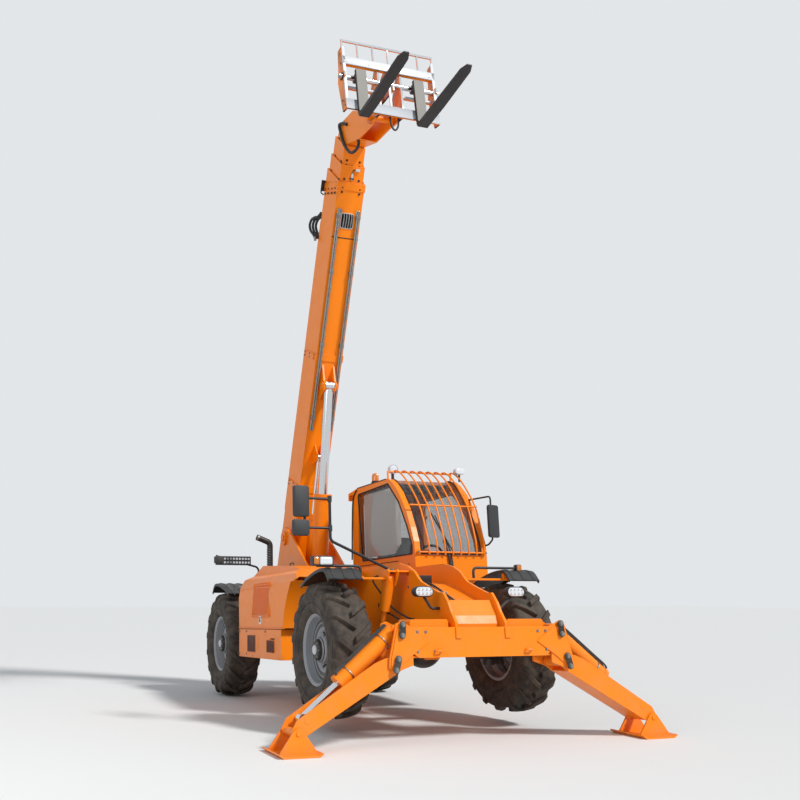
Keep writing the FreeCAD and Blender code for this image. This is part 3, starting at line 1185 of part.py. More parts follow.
def guard_arm(end):
    """A flat arm from the rail out under the mudguard, with the post that the mudguard sits on."""
    y = end * (AXLE_Y + ARM_OUT)
    arm = box(RAIL_OUTER - OVERLAP, ARM_END, y - 30, y + 30, ARM_Z - 20, ARM_Z)
    top = [(end * (AXLE_Y + ARM_OUT + s * 20), guard_under(ARM_OUT + s * 20) - FACE_GAP) for s in (-1, 1)]
    post = side_plate([(top[0][0], ARM_Z - OVERLAP), *top, (top[1][0], ARM_Z - OVERLAP)], ARM_END - 40, ARM_END)
    return fused(arm, post)


def frame_lamps():
    """Oval lamps on bent tubes at the nose, the lamp rails over the front mudguards and one at the rear."""
    f = FRONT_Y
    solids = []
    # Columns: side, distance of the lamp from the middle, front face of the lamp
    for s, x, y in ((-1, 430, f - 895), (1, 500, f - 925)):
        tube = bent_tube([(s * (RAIL_OUTER + FACE_GAP), y + 35, 1000), (s * 345, y + 35, 1000), (s * x, y + 35, 1125)],
                         30, 13)
        solids.append(fused(tube, front_plate(oval(s * x, 1147, 180, 90), y, y + 70)))
    y = f - ARM_OUT
    rail = bent_tube([(-GUARD_IN + 40, y, ARM_Z + FACE_GAP), (-GUARD_IN + 40, y, LAMP_RAIL_Z),
                      (-GUARD_OUT - 60, y, LAMP_RAIL_Z)], 40, 13)
    solids.append(fused(rail, box(-GUARD_OUT - 105, -GUARD_OUT + 95, y - 35, y + 35, LAMP_RAIL_Z, LAMP_RAIL_Z + 88)))
    solids.append(bent_tube([(475, y, ARM_Z + FACE_GAP), (475, y, LAMP_RAIL_Z), (1010, y, LAMP_RAIL_Z)], 40, 13))
    y = AXLE_Y + ARM_OUT
    rail = bent_tube([(-545, y, ARM_Z + FACE_GAP), (-545, y, 1600), (-1134, y, 1745)], 60, 13)
    solids.append(fused(rail, box(-1150, -1040, y - 30, y + 30, 1650, 1735)))
    return Part.makeCompound(solids)


def roof_lamps():
    """A round lamp at the roof's inner front, an oval one at its outer corner, and the beacon's base."""
    f = CAB_FRONT
    x = CAB_INNER + 150
    round_lamp = fused(rod((x, f + 735, 2635), (x, f + 805, 2635), 55),
                       box(x - 10, x + 10, f + 755, f + 795, CAB_ROOF + FACE_GAP, 2600))
    x = CAB_OUTER - 14
    oval_lamp = fused(front_plate(oval(x, 2594, 130, 76), f + 445, f + 505),
                      box(x - 9, x + 9, f + 470, f + 490, CAB_ROOF - 120, 2570)).cut(cab_outside())
    x = CAB_INNER + 52
    beacon = rod((x, f + 1045, CAB_ROOF + FACE_GAP), (x, f + 1045, CAB_ROOF + 130), 50)
    return Part.makeCompound([round_lamp, oval_lamp, beacon])


def mirrors():
    """Two heads on a bracket at the right of the nose, and one on a loop at the cab's front corner."""
    f = FRONT_Y
    y = f - 216
    right = fused(box(-1430, -1270, y - 50, y - 10, 1856, 2155), box(-1440, -1270, y - 50, y - 10, 1678, 1833),
                  rod((-1300, y, 2040), (-1043, y, 2040), 12), rod((-1300, y, 1760), (-1043, y, 1760), 12),
                  box(-1320, -1290, y - 20, y + 12, 1740, 2060),
                  rod((-1043, y, 2060), (-1043, y, 1640), 14), rod((-1043, y, 1650), (-452, y, 1384), 15),
                  box(-476, -404, y - 50, y + 50, BRACKET_TOP + FACE_GAP, BRACKET_TOP + 14))
    c = CAB_FRONT
    x = CAB_OUTER - 17
    loop = bent_tube([(x, c + 40, 1700), (x + 10, c - 60, 1700), (x + 62, c - 66, 1760), (x + 62, c - 66, 2240),
                      (x, c + 330, 2240)], 26, 10)
    head = turned(box(-85, 85, -40, -5, 1780, 2140), (0, 0, 0), Z_AXIS, 20)
    left = fused(loop, moved(head, x + 62, c - 66, 0)).cut(cab_outside())
    return Part.makeCompound([right, left])


def exhaust():
    """The silencer across behind the bonnet, with a tailpipe that turns outwards at its top."""
    y = POD_REAR + 105
    silencer = rod((-RAIL_OUTER, y, 1362), (-745, y, 1362), 84)
    return fused(silencer, bent_tube([(-695, y, 1380), (-695, y, 1850), (-865, y, 1915)], 60, 36))


def sway_cylinder():
    """The cylinder that levels the chassis on the front axle, from the rail's bracket to the axle's lug.

    The bracket also carries the right front mudguard's arm.
    """
    f = FRONT_Y
    top = (-440, f - 216, 1290)
    low = (-470, f - 56, 800)
    joint = (-458, f - 120, 995)
    plate = side_plate([(f - 326, 1350), (f - 306, BRACKET_TOP + 10), (f - 86, BRACKET_TOP + 10), (f - 66, 1350),
                        (f - 126, 1290), (f - 186, 1220), (f - 246, 1220), (f - 296, 1290)], -400, -384)
    web = box(-496, -RAIL_OUTER, f - 306, f - 86, BRACKET_TOP - 16, BRACKET_TOP)
    lug = side_plate([(f - 86, 690), (f - 16, 700), (f - 21, 800), (f - 56, 835), (f - 91, 800)], -490, -450)
    axle_tube = cross_pin(f, TYRE_RADIUS, AXLE_HALF_DEPTH, -600, -300)
    arm = mirrored(guard_arm(-1)).common(box(-2 * WHEEL_X, -488, -WHEELBASE, 0, 0, 2 * ARM_Z))
    return fused(plate, moved(plate, -96, 0, 0), web, arm, rod(top, joint, 55), rod(joint, low, 28), lug.cut(axle_tube),
                 cross_pin(top[1], top[2], 50, -470, -410), cross_pin(low[1], low[2], 38, -490, -450),
                 cross_pin(top[1], top[2], 24, -510, -380))


def build_fittings():
    chassis_node("counterweight", counterweight())
    guards = [mudguard(-1), mudguard(1)]
    chassis_node("fenders", Part.makeCompound(guards + [mirrored(guard) for guard in guards]))
    r = AXLE_Y
    tank = box(RAIL_OUTER + FACE_GAP, CAB_OUTER - 70, r - 994, r - 704, 560, 1150)
    chassis_node("side_tank", clear_of_tyres(tank, 1, (1,)))
    step = box(CAB_INNER, CAB_OUTER - 20, CAB_FRONT + 485, CAB_REAR - 40, 560, CAB_FLOOR - 40)
    brace = box(RAIL_OUTER + FACE_GAP, CAB_INNER + 40, CAB_FRONT + 545, CAB_REAR - 100, 600, 740)
    chassis_node("step_box", fused(step, brace))
    chassis_node("exhaust", exhaust())
    chassis_node("frame_lamps", frame_lamps())
    chassis_node("roof_lamps", roof_lamps())
    chassis_node("mirrors", mirrors())
    chassis_node("sway_cylinder", sway_cylinder())


def build():
    wheels()
    build_chassis()
    build_stabilisers()
    build_boom()
    build_boom_cylinders()
    build_tilt_cylinder()
    build_carriage()
    build_cab()
    build_pod()
    build_fittings()


def origin_shift():
    """From the machine's own origin to the middle of its box at ground level."""
    whole = Part.makeCompound(list(nodes.values())).BoundBox
    return vec(-(whole.XMin + whole.XMax) / 2, -(whole.YMin + whole.YMax) / 2, -whole.ZMin)


build()
SHIFT = origin_shift()
for name, shape in nodes.items():
    placed = shape.copy()
    placed.translate(SHIFT)
    placed.exportStep("parts/" + name + ".step")
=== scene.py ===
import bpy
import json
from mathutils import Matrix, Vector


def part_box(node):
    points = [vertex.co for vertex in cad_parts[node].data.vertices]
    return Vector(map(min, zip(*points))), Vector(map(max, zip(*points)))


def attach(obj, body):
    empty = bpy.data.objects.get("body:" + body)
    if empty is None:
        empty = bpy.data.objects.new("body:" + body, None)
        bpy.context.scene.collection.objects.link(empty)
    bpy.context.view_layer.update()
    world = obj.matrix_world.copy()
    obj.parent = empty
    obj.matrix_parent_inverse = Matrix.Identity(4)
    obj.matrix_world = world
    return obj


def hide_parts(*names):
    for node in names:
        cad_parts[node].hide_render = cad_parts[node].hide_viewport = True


bl_info = {
    "name": "Telehandler dressing",
    "version": (1, 0, 0),
    "blender": (4, 5, 0),
    "location": "View3D > Sidebar > Telehandler",
    "description": "Finishes, fittings and stage for the packed telehandler",
    "category": "Object",
}

import json
import math

import bmesh
import bpy
from mathutils import Matrix, Vector

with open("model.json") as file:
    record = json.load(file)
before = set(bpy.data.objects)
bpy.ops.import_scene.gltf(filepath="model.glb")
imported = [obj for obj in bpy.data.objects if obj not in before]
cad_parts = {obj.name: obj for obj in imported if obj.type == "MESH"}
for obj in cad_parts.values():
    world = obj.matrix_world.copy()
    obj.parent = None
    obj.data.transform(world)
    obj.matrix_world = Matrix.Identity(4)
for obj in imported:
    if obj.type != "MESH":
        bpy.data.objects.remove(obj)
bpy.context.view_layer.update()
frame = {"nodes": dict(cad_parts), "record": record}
NODES = frame["nodes"]

# Sizes of the machine, in millimetres and degrees, as its solids have them
AXLE_Y = 1634.0
WHEEL_X = 972.0
TYRE_RADIUS = 632.0
PITCH = 2.04
PIVOT = (0.0, 1620.0, 1970.0)
BOOM_ANGLE = 67.4
END_RAKE = 0.40
SHAFT = (0.0, -1397.0, 6948.0)
FORK_RISE = 6.4
LEG_PIN_X = 850.0
LEG_PIN_Z = 535.0
RAM_PIN_X = 792.0
RAM_PIN_Z = 817.0
RAM_ALONG = 900.0
RAM_ABOVE = 42.0
LEG_ANGLE = math.degrees(math.atan2(517.0, 884.0))
LEG_MID_Y = -2623.0
MM = Matrix.Scale(0.001, 4)


def rear_axle_y():
    low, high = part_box("rim_rear_left")
    return (low.y + high.y) / 2


# Places: each takes a point in millimetres of a piece's own level frame to metres in the row frame
MACHINE = (Matrix.Translation((0, rear_axle_y(), TYRE_RADIUS / 1000))
           @ Matrix.Rotation(math.radians(-PITCH), 4, "X")
           @ Matrix.Translation((0, -AXLE_Y / 1000, -TYRE_RADIUS / 1000)) @ MM)
BOOM = MACHINE @ Matrix.Translation(PIVOT) @ Matrix.Rotation(math.radians(-BOOM_ANGLE), 4, "X")
CARRIAGE = MACHINE @ Matrix.Translation(SHAFT) @ Matrix.Rotation(math.radians(-FORK_RISE), 4, "X")

FINISH = {}
BOLTS = {}


def linear(code, alpha=1.0):
    """An sRGB hex colour as linear values."""
    values = []
    for k in (1, 3, 5):
        c = int(code[k:k + 2], 16) / 255
        values.append(c / 12.92 if c <= 0.04045 else ((c + 0.055) / 1.055) ** 2.4)
    return (*values, alpha)


def add(tree, kind, settings=None, inputs=None, links=()):
    """Adds a node with its settings, its sockets' values and its incoming links."""
    node = tree.nodes.new(kind)
    for key, value in (settings or {}).items():
        setattr(node, key, value)
    for key, value in (inputs or {}).items():
        node.inputs[key].default_value = value
    for socket, source in links:
        tree.links.new(source, node.inputs[socket])
    return node


def sockets(shader, values):
    """Sets sockets by name."""
    for name, value in values.items():
        shader.inputs[name].default_value = value


def new_material(name):
    material = bpy.data.materials.new(name)
    material.use_nodes = True
    tree = material.node_tree
    tree.nodes.clear()
    shader = add(tree, "ShaderNodeBsdfPrincipled")
    add(tree, "ShaderNodeOutputMaterial", links=(("Surface", shader.outputs[0]),))
    place = add(tree, "ShaderNodeTexCoord")
    return material, tree, shader, place.outputs["Object"]


def noise(tree, place, scale, detail=4.0, roughness=0.55):
    return add(tree, "ShaderNodeTexNoise", inputs={"Scale": scale, "Detail": detail, "Roughness": roughness},
               links=(("Vector", place),)).outputs["Fac"]


def ramp(tree, source, stops):
    node = add(tree, "ShaderNodeValToRGB", links=(("Fac", source),))
    elements = node.color_ramp.elements
    elements[0].position, elements[0].color = stops[0][0], stops[0][1]
    elements[1].position, elements[1].color = stops[-1][0], stops[-1][1]
    for position, colour in stops[1:-1]:
        elements.new(position).color = colour
    return node.outputs["Color"]


def mixed(tree, fac, a, b):
    node = add(tree, "ShaderNodeMix", {"data_type": "RGBA"})
    for socket, value in ((6, a), (7, b)):
        if isinstance(value, tuple):
            node.inputs[socket].default_value = value
        else:
            tree.links.new(value, node.inputs[socket])
    tree.links.new(fac, node.inputs[0])
    return node.outputs[2]


def bumped(tree, shader, height, distance, strength=1.0, edge=0.0):
    """Relief from a height, on edges that are rounded to a radius in metres."""
    bump = add(tree, "ShaderNodeBump", inputs={"Strength": strength, "Distance": distance},
               links=(("Height", height),))
    if edge:
        round_edge = add(tree, "ShaderNodeBevel", {"samples": 4}, {"Radius": edge})
        tree.links.new(round_edge.outputs[0], bump.inputs["Normal"])
    tree.links.new(bump.outputs[0], shader.inputs["Normal"])


def grey(value):
    return (value, value, value, 1.0)


def road_dust(tree, place, low, high):
    """A share from 1 near the ground to 0 at a height, broken up by blotches."""
    height = add(tree, "ShaderNodeSeparateXYZ", links=((0, place),)).outputs["Z"]
    fall = add(tree, "ShaderNodeMapRange", inputs={1: low, 2: high, 3: 1.0, 4: 0.0},
               links=(("Value", height),)).outputs[0]
    patches = noise(tree, place, 5.0, 8.0, 0.65)
    blotch = add(tree, "ShaderNodeMapRange", inputs={1: 0.35, 2: 0.7}, links=(("Value", patches),)).outputs[0]
    return add(tree, "ShaderNodeMath", {"operation": "MULTIPLY"}, links=((0, fall), (1, blotch))).outputs[0]


def part_of(tree, share, factor):
    """A share times a plain factor."""
    return add(tree, "ShaderNodeMath", {"operation": "MULTIPLY"}, {1: factor}, ((0, share),)).outputs[0]


def painted(name, colour, shade, roughness, coat=0.12, dust=0.25):
    """Sprayed enamel on steel: an even colour with a faint orange peel, and road dust low down."""
    material, tree, shader, place = new_material(name)
    first = colour if isinstance(colour, tuple) else linear(colour)
    base = mixed(tree, noise(tree, place, 1.7, 3.0), first, linear(shade))
    share = part_of(tree, road_dust(tree, place, 0.25, 1.6), dust)
    tree.links.new(mixed(tree, share, base, linear("#9C8A74")), shader.inputs["Base Color"])
    rough = ramp(tree, noise(tree, place, 9.0, 6.0),
                 ((0.3, grey(roughness - 0.06)), (0.7, grey(roughness + 0.08))))
    tree.links.new(rough, shader.inputs["Roughness"])
    sockets(shader, {"Specular IOR Level": 0.25, "Coat Weight": coat, "Coat Roughness": 0.28})
    # The real peel is about 2 mm across; 6 mm here so that it shows
    bumped(tree, shader, noise(tree, place, 160.0, 2.0), 0.0004, 0.35, 0.004)
    return material


def moulded_plastic(name, colour, roughness=0.52):
    """Injection-moulded black plastic: a fine leather grain that kills the gloss, greyed by dust."""
    material, tree, shader, place = new_material(name)
    share = part_of(tree, road_dust(tree, place, 0.2, 1.8), 0.4)
    base = mixed(tree, noise(tree, place, 3.0, 4.0), linear(colour), linear("#2B2C2E"))
    tree.links.new(mixed(tree, share, base, linear("#7D756A")), shader.inputs["Base Color"])
    sockets(shader, {"Roughness": roughness})
    # Grain cells of about 3 mm, coarser than the real 0.5 mm so that they show
    cells = add(tree, "ShaderNodeTexVoronoi", inputs={"Scale": 320.0},
                links=(("Vector", place),)).outputs["Distance"]
    bumped(tree, shader, cells, 0.0005, 0.35, 0.003)
    return material


def tyre_rubber():
    """Vulcanised rubber that has run on a yard: near black and dull, with pale dust in blotches."""
    material, tree, shader, place = new_material("tyre_rubber_dusty")
    dust = add(tree, "ShaderNodeMapRange", inputs={1: 0.38, 2: 0.72, 3: 0.05, 4: 0.6},
               links=(("Value", noise(tree, place, 7.0, 9.0, 0.7)),)).outputs[0]
    base = mixed(tree, noise(tree, place, 22.0, 4.0), linear("#1E1B19"), linear("#2D2926"))
    tree.links.new(mixed(tree, dust, base, linear("#77695A")), shader.inputs["Base Color"])
    sockets(shader, {"Roughness": 0.74, "Specular IOR Level": 0.35})
    bumped(tree, shader, noise(tree, place, 90.0, 5.0, 0.7), 0.0012, 0.5)
    return material


def chrome():
    """Hard chrome on a ground steel rod: a mirror with a faintly uneven polish."""
    material, tree, shader, place = new_material("hard_chrome_rod")
    sockets(shader, {"Base Color": linear("#D9DBDD"), "Metallic": 1.0})
    rough = ramp(tree, noise(tree, place, 60.0, 3.0), ((0.3, grey(0.09)), (0.7, grey(0.2))))
    tree.links.new(rough, shader.inputs["Roughness"])
    return material


def bare_metal(name, colour, low, high, scale):
    """Zinc-plated or rubbed steel: grey metal with a mottled shine."""
    material, tree, shader, place = new_material(name)
    base = mixed(tree, noise(tree, place, scale, 5.0), linear(colour), linear("#6E6C68"))
    tree.links.new(base, shader.inputs["Base Color"])
    sockets(shader, {"Metallic": 0.9})
    rough = ramp(tree, noise(tree, place, scale * 2, 5.0), ((0.3, grey(low)), (0.7, grey(high))))
    tree.links.new(rough, shader.inputs["Roughness"])
    return material


def window_glass():
    """Toughened glass with a grey-green tint: a thin clear pane with a sharp reflection of the sky."""
    material, tree, shader, place = new_material("tinted_window_glass")
    sockets(shader, {"Base Color": linear("#3E4A49"), "Roughness": 0.03, "Alpha": 0.24, "Coat Weight": 1.0,
                     "Coat Roughness": 0.02})
    return material


def lamp_lens():
    """A clear polycarbonate lens over a bright reflector."""
    material, tree, shader, place = new_material("lamp_lens_clear")
    sockets(shader, {"Base Color": linear("#D6DBDF"), "Roughness": 0.06, "Metallic": 0.35, "Coat Weight": 1.0,
                     "Emission Color": linear("#FFFFFF"), "Emission Strength": 0.12})
    return material


def coloured_lens(name, colour):
    """Dyed transparent plastic over a lamp."""
    material, tree, shader, place = new_material(name)
    sockets(shader, {"Base Color": linear(colour), "Roughness": 0.12, "Transmission Weight": 0.35,
                     "Coat Weight": 0.8})
    return material


def mirror_glass():
    """Silvered convex glass."""
    material, tree, shader, place = new_material("silvered_mirror_glass")
    sockets(shader, {"Base Color": linear("#C9D0D6"), "Metallic": 1.0, "Roughness": 0.03})
    return material


def seat_fabric(name, colour, thread):
    """Woven polyester cloth: a plain weave drawn at 5 mm so that it shows."""
    material, tree, shader, place = new_material(name)
    weave = add(tree, "ShaderNodeTexWave", {"bands_direction": "DIAGONAL"}, {"Scale": 60.0, "Distortion": 1.0},
                (("Vector", place),)).outputs["Fac"]
    tree.links.new(mixed(tree, weave, linear(colour), linear(thread)), shader.inputs["Base Color"])
    sockets(shader, {"Roughness": 0.85, "Sheen Weight": 0.3})
    bumped(tree, shader, weave, 0.0008, 0.5)
    return material


def wheel_place(name):
    """The frame of one wheel in millimetres, with its axle along X; its outside always lies at +X."""
    low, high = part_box("rim_" + name)
    side = 1 if "left" in name else -1
    place = Matrix.Translation((side * WHEEL_X / 1000, (low.y + high.y) / 2, (low.z + high.z) / 2)) @ MM
    return place @ Matrix.Scale(side, 4, (1, 0, 0))


def circle(count, radius, offset=0.0):
    """Points round a circle as pairs of cosine and sine, offset by a share of one step."""
    angles = [2 * math.pi * (k + offset) / count for k in range(count)]
    return [(radius * math.cos(a), radius * math.sin(a)) for a in angles]


class Shape:
    """Collects the faces of one piece in millimetres of its own level frame, each with its finish."""

    def __init__(self, name, place=None):
        self.name = name
        self.place = MACHINE if place is None else place
        self.mesh = bmesh.new()
        self.finishes = []

    def number(self, finish):
        if finish not in self.finishes:
            self.finishes.append(finish)
        return self.finishes.index(finish)

    def absorb(self, part):
        """Moves the faces of a bmesh into this piece as they are."""
        shell = bpy.data.meshes.new("part")
        part.to_mesh(shell)
        part.free()
        self.mesh.from_mesh(shell)
        bpy.data.meshes.remove(shell)

    def take(self, part, finish, turn=None):
        """Moves a bmesh into this piece, with its faces turned outwards and in one finish."""
        bmesh.ops.recalc_face_normals(part, faces=part.faces)
        if turn is not None:
            bmesh.ops.transform(part, matrix=turn, verts=part.verts)
            if turn.determinant() < 0:
                bmesh.ops.reverse_faces(part, faces=part.faces)
        for face in part.faces:
            face.material_index = self.number(finish)
        self.absorb(part)

    def prism(self, outline, axis, low, high, finish, edge=0.0, turn=None):
        """A plate whose outline lies across the axis; its edges are rounded by two facets."""
        part = bmesh.new()
        rings = []
        for level in (low, high):
            ring = []
            for a, b in outline:
                point = {"x": (level, a, b), "y": (a, level, b), "z": (a, b, level)}[axis]
                ring.append(part.verts.new(point))
            rings.append(ring)
        part.faces.new(rings[0])
        part.faces.new(rings[1])
        for k in range(len(outline)):
            after = (k + 1) % len(outline)
            part.faces.new((rings[0][k], rings[0][after], rings[1][after], rings[1][k]))
        bmesh.ops.recalc_face_normals(part, faces=part.faces)
        if edge:
            sharp = [e for e in part.edges if e.calc_face_angle(0) > 0.5]
            bmesh.ops.bevel(part, geom=sharp, offset=edge, segments=2, profile=0.6, affect="EDGES",
                            clamp_overlap=True)
        self.take(part, finish, turn)

    def block(self, x0, x1, y0, y1, z0, z1, finish, edge=2.0, turn=None):
        self.prism([(x0, y0), (x1, y0), (x1, y1), (x0, y1)], "z", z0, z1, finish, edge, turn)

    def sweep(self, points, radius, finish, sides=16, closed=False):
        """A round tube along points; radius may be a list with one value a point."""
        points = [Vector(p) for p in points]
        count = len(points)
        part = bmesh.new()
        rings = []
        side = None
        for k, point in enumerate(points):
            before = points[(k - 1) % count] if (k or closed) else point
            after = points[(k + 1) % count] if (k < count - 1 or closed) else point
            ahead = (after - before).normalized()
            if side is None:
                side = ahead.orthogonal().normalized()
            side = (side - ahead * side.dot(ahead)).normalized()
            other = ahead.cross(side)
            here = circle(sides, radius[k] if isinstance(radius, list) else radius)
            rings.append([part.verts.new(point + side * c + other * s) for c, s in here])
        for ring, following in zip(rings, rings[1:] + ([rings[0]] if closed else [])):
            for n in range(sides):
                m = (n + 1) % sides
                part.faces.new((ring[n], ring[m], following[m], following[n]))
        if not closed:
            part.faces.new(rings[0])
            part.faces.new(rings[-1])
        self.take(part, finish)

    def rod(self, start, end, radius, finish, sides=20, edge=1.5):
        """A bar with its end edges broken."""
        start = Vector(start)
        end = Vector(end)
        ahead = (end - start).normalized() * edge
        self.sweep([start, start + ahead, end - ahead, end], [radius - edge, radius, radius, radius - edge],
                   finish, sides)

    def lathe(self, profile, finish, steps=48, turn=None):
        """A profile of (x, radius) turned about X; it closes on itself, or at the axis where a radius is 0."""
        part = bmesh.new()
        rings = []
        for x, radius in profile:
            if radius < 0.01:
                rings.append([part.verts.new((x, 0, 0))])
            else:
                rings.append([part.verts.new((x, s, c)) for c, s in circle(steps, radius)])
        closed = profile[0][1] > 0.01 and profile[-1][1] > 0.01
        pairs = list(zip(rings, rings[1:])) + ([(rings[-1], rings[0])] if closed else [])
        for one, two in pairs:
            for n in range(steps):
                m = (n + 1) % steps
                if len(one) == 1 and len(two) == 1:
                    break
                if len(one) == 1:
                    part.faces.new((one[0], two[m], two[n]))
                elif len(two) == 1:
                    part.faces.new((one[n], one[m], two[0]))
                else:
                    part.faces.new((one[n], one[m], two[m], two[n]))
        self.take(part, finish, turn)

    def skin(self, rows, finish, thick=0.0):
        """A sheet over rows of points, given a wall where thick isn't 0."""
        part = bmesh.new()
        grid = [[part.verts.new(p) for p in row] for row in rows]
        for one, two in zip(grid, grid[1:]):
            for k in range(len(one) - 1):
                part.faces.new((one[k], one[k + 1], two[k + 1], two[k]))
        if thick:
            bmesh.ops.recalc_face_normals(part, faces=part.faces)
            bmesh.ops.solidify(part, geom=part.faces[:], thickness=thick)
        self.take(part, finish)

    def grown(self, source, tree, values, finish):
        """Takes what a Geometry Nodes tree makes of a mesh; the tree's inputs are set by identifier."""
        helper = bpy.data.objects.new(self.name + ".grow", source)
        bpy.context.scene.collection.objects.link(helper)
        modifier = helper.modifiers.new("grow", "NODES")
        modifier.node_group = tree
        for item in tree.interface.items_tree:
            if item.in_out == "INPUT" and item.name in values:
                modifier[item.identifier] = values[item.name]
        graph = bpy.context.evaluated_depsgraph_get()
        made = bpy.data.meshes.new_from_object(helper.evaluated_get(graph))
        helper.modifiers.remove(modifier)
        bpy.data.objects.remove(helper)
        part = bmesh.new()
        part.from_mesh(made)
        bpy.data.meshes.remove(made)
        self.take(part, finish)

    def done(self, body, *replaced, smooth=25.0, slot=None):
        """Makes the object at the origin, with its place in its mesh, and lets it ride on a body."""
        bmesh.ops.transform(self.mesh, matrix=self.place, verts=self.mesh.verts)
        if self.place.determinant() < 0:
            bmesh.ops.reverse_faces(self.mesh, faces=self.mesh.faces)
        mesh = bpy.data.meshes.new(self.name)
        self.mesh.to_mesh(mesh)
        self.mesh.free()
        for finish in self.finishes:
            mesh.materials.append(FINISH[finish])
        mesh.polygons.foreach_set("use_smooth", [True] * len(mesh.polygons))
        mesh.set_sharp_from_angle(angle=math.radians(smooth))
        obj = bpy.data.objects.new(self.name, mesh)
        bpy.context.scene.collection.objects.link(obj)
        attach(obj, body)
        if replaced:
            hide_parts(*replaced)
        return obj


def smooth_line(points, steps=6):
    """A Catmull-Rom line through the points."""
    points = [Vector(p) for p in points]
    ends = [points[0] * 2 - points[1]] + points + [points[-1] * 2 - points[-2]]
    line = []
    for a, b, c, d in zip(ends, ends[1:], ends[2:], ends[3:]):
        for k in range(steps):
            t = k / steps
            bend = (2 * a - 5 * b + 4 * c - d) * t * t
            line.append(0.5 * (2 * b + (c - a) * t + bend + (3 * b - a - 3 * c + d) * t ** 3))
    line.append(points[-1])
    return line


def rounded_line(points, bend, steps=6):
    """Straight runs with an arc of the bend radius at each corner."""
    points = [Vector(p) for p in points]
    line = [points[0]]
    for before, corner, after in zip(points, points[1:], points[2:]):
        back = (before - corner).normalized()
        ahead = (after - corner).normalized()
        half = back.angle(ahead) / 2
        reach = min(bend / math.tan(half), (before - corner).length * 0.48, (after - corner).length * 0.48)
        start = corner + back * reach
        end = corner + ahead * reach
        for k in range(steps + 1):
            t = k / steps
            line.append(start * (1 - t) ** 2 + corner * (2 * t * (1 - t)) + end * t ** 2)
    line.append(points[-1])
    return line


def rounded_outline(x0, x1, z0, z1, corner, steps=5):
    """A rectangle's outline with round corners."""
    points = []
    for cx, cz, start in ((x1 - corner, z1 - corner, 0), (x0 + corner, z1 - corner, 90),
                          (x0 + corner, z0 + corner, 180), (x1 - corner, z0 + corner, 270)):
        for k in range(steps + 1):
            a = math.radians(start + 90 * k / steps)
            points.append((cx + corner * math.cos(a), cz + corner * math.sin(a)))
    return points


def points_mesh(places, turns, sizes):
    """Points for bolts and the like, each with its turn and its size."""
    mesh = bpy.data.meshes.new("points")
    mesh.from_pydata([Vector(p) for p in places], [], [])
    mesh.attributes.new("turn", "FLOAT_VECTOR", "POINT")
    mesh.attributes.new("size", "FLOAT", "POINT")
    mesh.attributes["turn"].data.foreach_set("vector", [angle for turn in turns for angle in turn])
    mesh.attributes["size"].data.foreach_set("value", sizes)
    return mesh


def facing(direction):
    """The Euler turn that takes +Z to a direction."""
    return Vector(direction).to_track_quat("Z", "Y").to_euler()


def open_tree(name, inputs):
    """A Geometry Nodes tree with a geometry input and named number inputs."""
    tree = bpy.data.node_groups.new(name, "GeometryNodeTree")
    tree.interface.new_socket("Geometry", in_out="INPUT", socket_type="NodeSocketGeometry")
    for label, kind, value in inputs:
        socket = tree.interface.new_socket(label, in_out="INPUT", socket_type=kind)
        socket.default_value = value
    tree.interface.new_socket("Geometry", in_out="OUTPUT", socket_type="NodeSocketGeometry")
    return tree, add(tree, "NodeGroupInput").outputs


def close_tree(tree, instances, finish):
    whole = add(tree, "GeometryNodeRealizeInstances", links=((0, instances),)).outputs[0]
    coloured = add(tree, "GeometryNodeSetMaterial", inputs={"Material": finish}, links=((0, whole),)).outputs[0]
    add(tree, "NodeGroupOutput", links=((0, coloured),))
    return tree


def bolt_tree(finish):
    """A hexagon head on a washer at each point, turned and sized by the point's attributes."""
    tree, given = open_tree("hex_bolts", (("Head radius", "NodeSocketFloat", 9.0),
                                          ("Head height", "NodeSocketFloat", 7.0),
                                          ("Washer radius", "NodeSocketFloat", 12.0)))
    head = add(tree, "GeometryNodeMeshCylinder", inputs={"Vertices": 6},
               links=(("Radius", given["Head radius"]), ("Depth", given["Head height"]))).outputs["Mesh"]
    lift = add(tree, "ShaderNodeCombineXYZ").outputs[0]
    half = add(tree, "ShaderNodeMath", {"operation": "MULTIPLY_ADD"}, {1: 0.5, 2: 2.0},
               ((0, given["Head height"]),)).outputs[0]
    tree.links.new(half, lift.node.inputs["Z"])
    head = add(tree, "GeometryNodeTransform", links=(("Geometry", head), ("Translation", lift))).outputs[0]
    washer = add(tree, "GeometryNodeMeshCylinder", inputs={"Vertices": 16, "Depth": 4.0},
                 links=(("Radius", given["Washer radius"]),)).outputs["Mesh"]
    both = add(tree, "GeometryNodeJoinGeometry", links=((0, head), (0, washer))).outputs[0]
    turn = add(tree, "GeometryNodeInputNamedAttribute", {"data_type": "FLOAT_VECTOR"}, {"Name": "turn"}).outputs[0]
    size = add(tree, "GeometryNodeInputNamedAttribute", {"data_type": "FLOAT"}, {"Name": "size"}).outputs[0]
    many = add(tree, "GeometryNodeInstanceOnPoints",
               links=(("Points", given["Geometry"]), ("Instance", both), ("Rotation", turn),
                      ("Scale", size))).outputs[0]
    return close_tree(tree, many, finish)


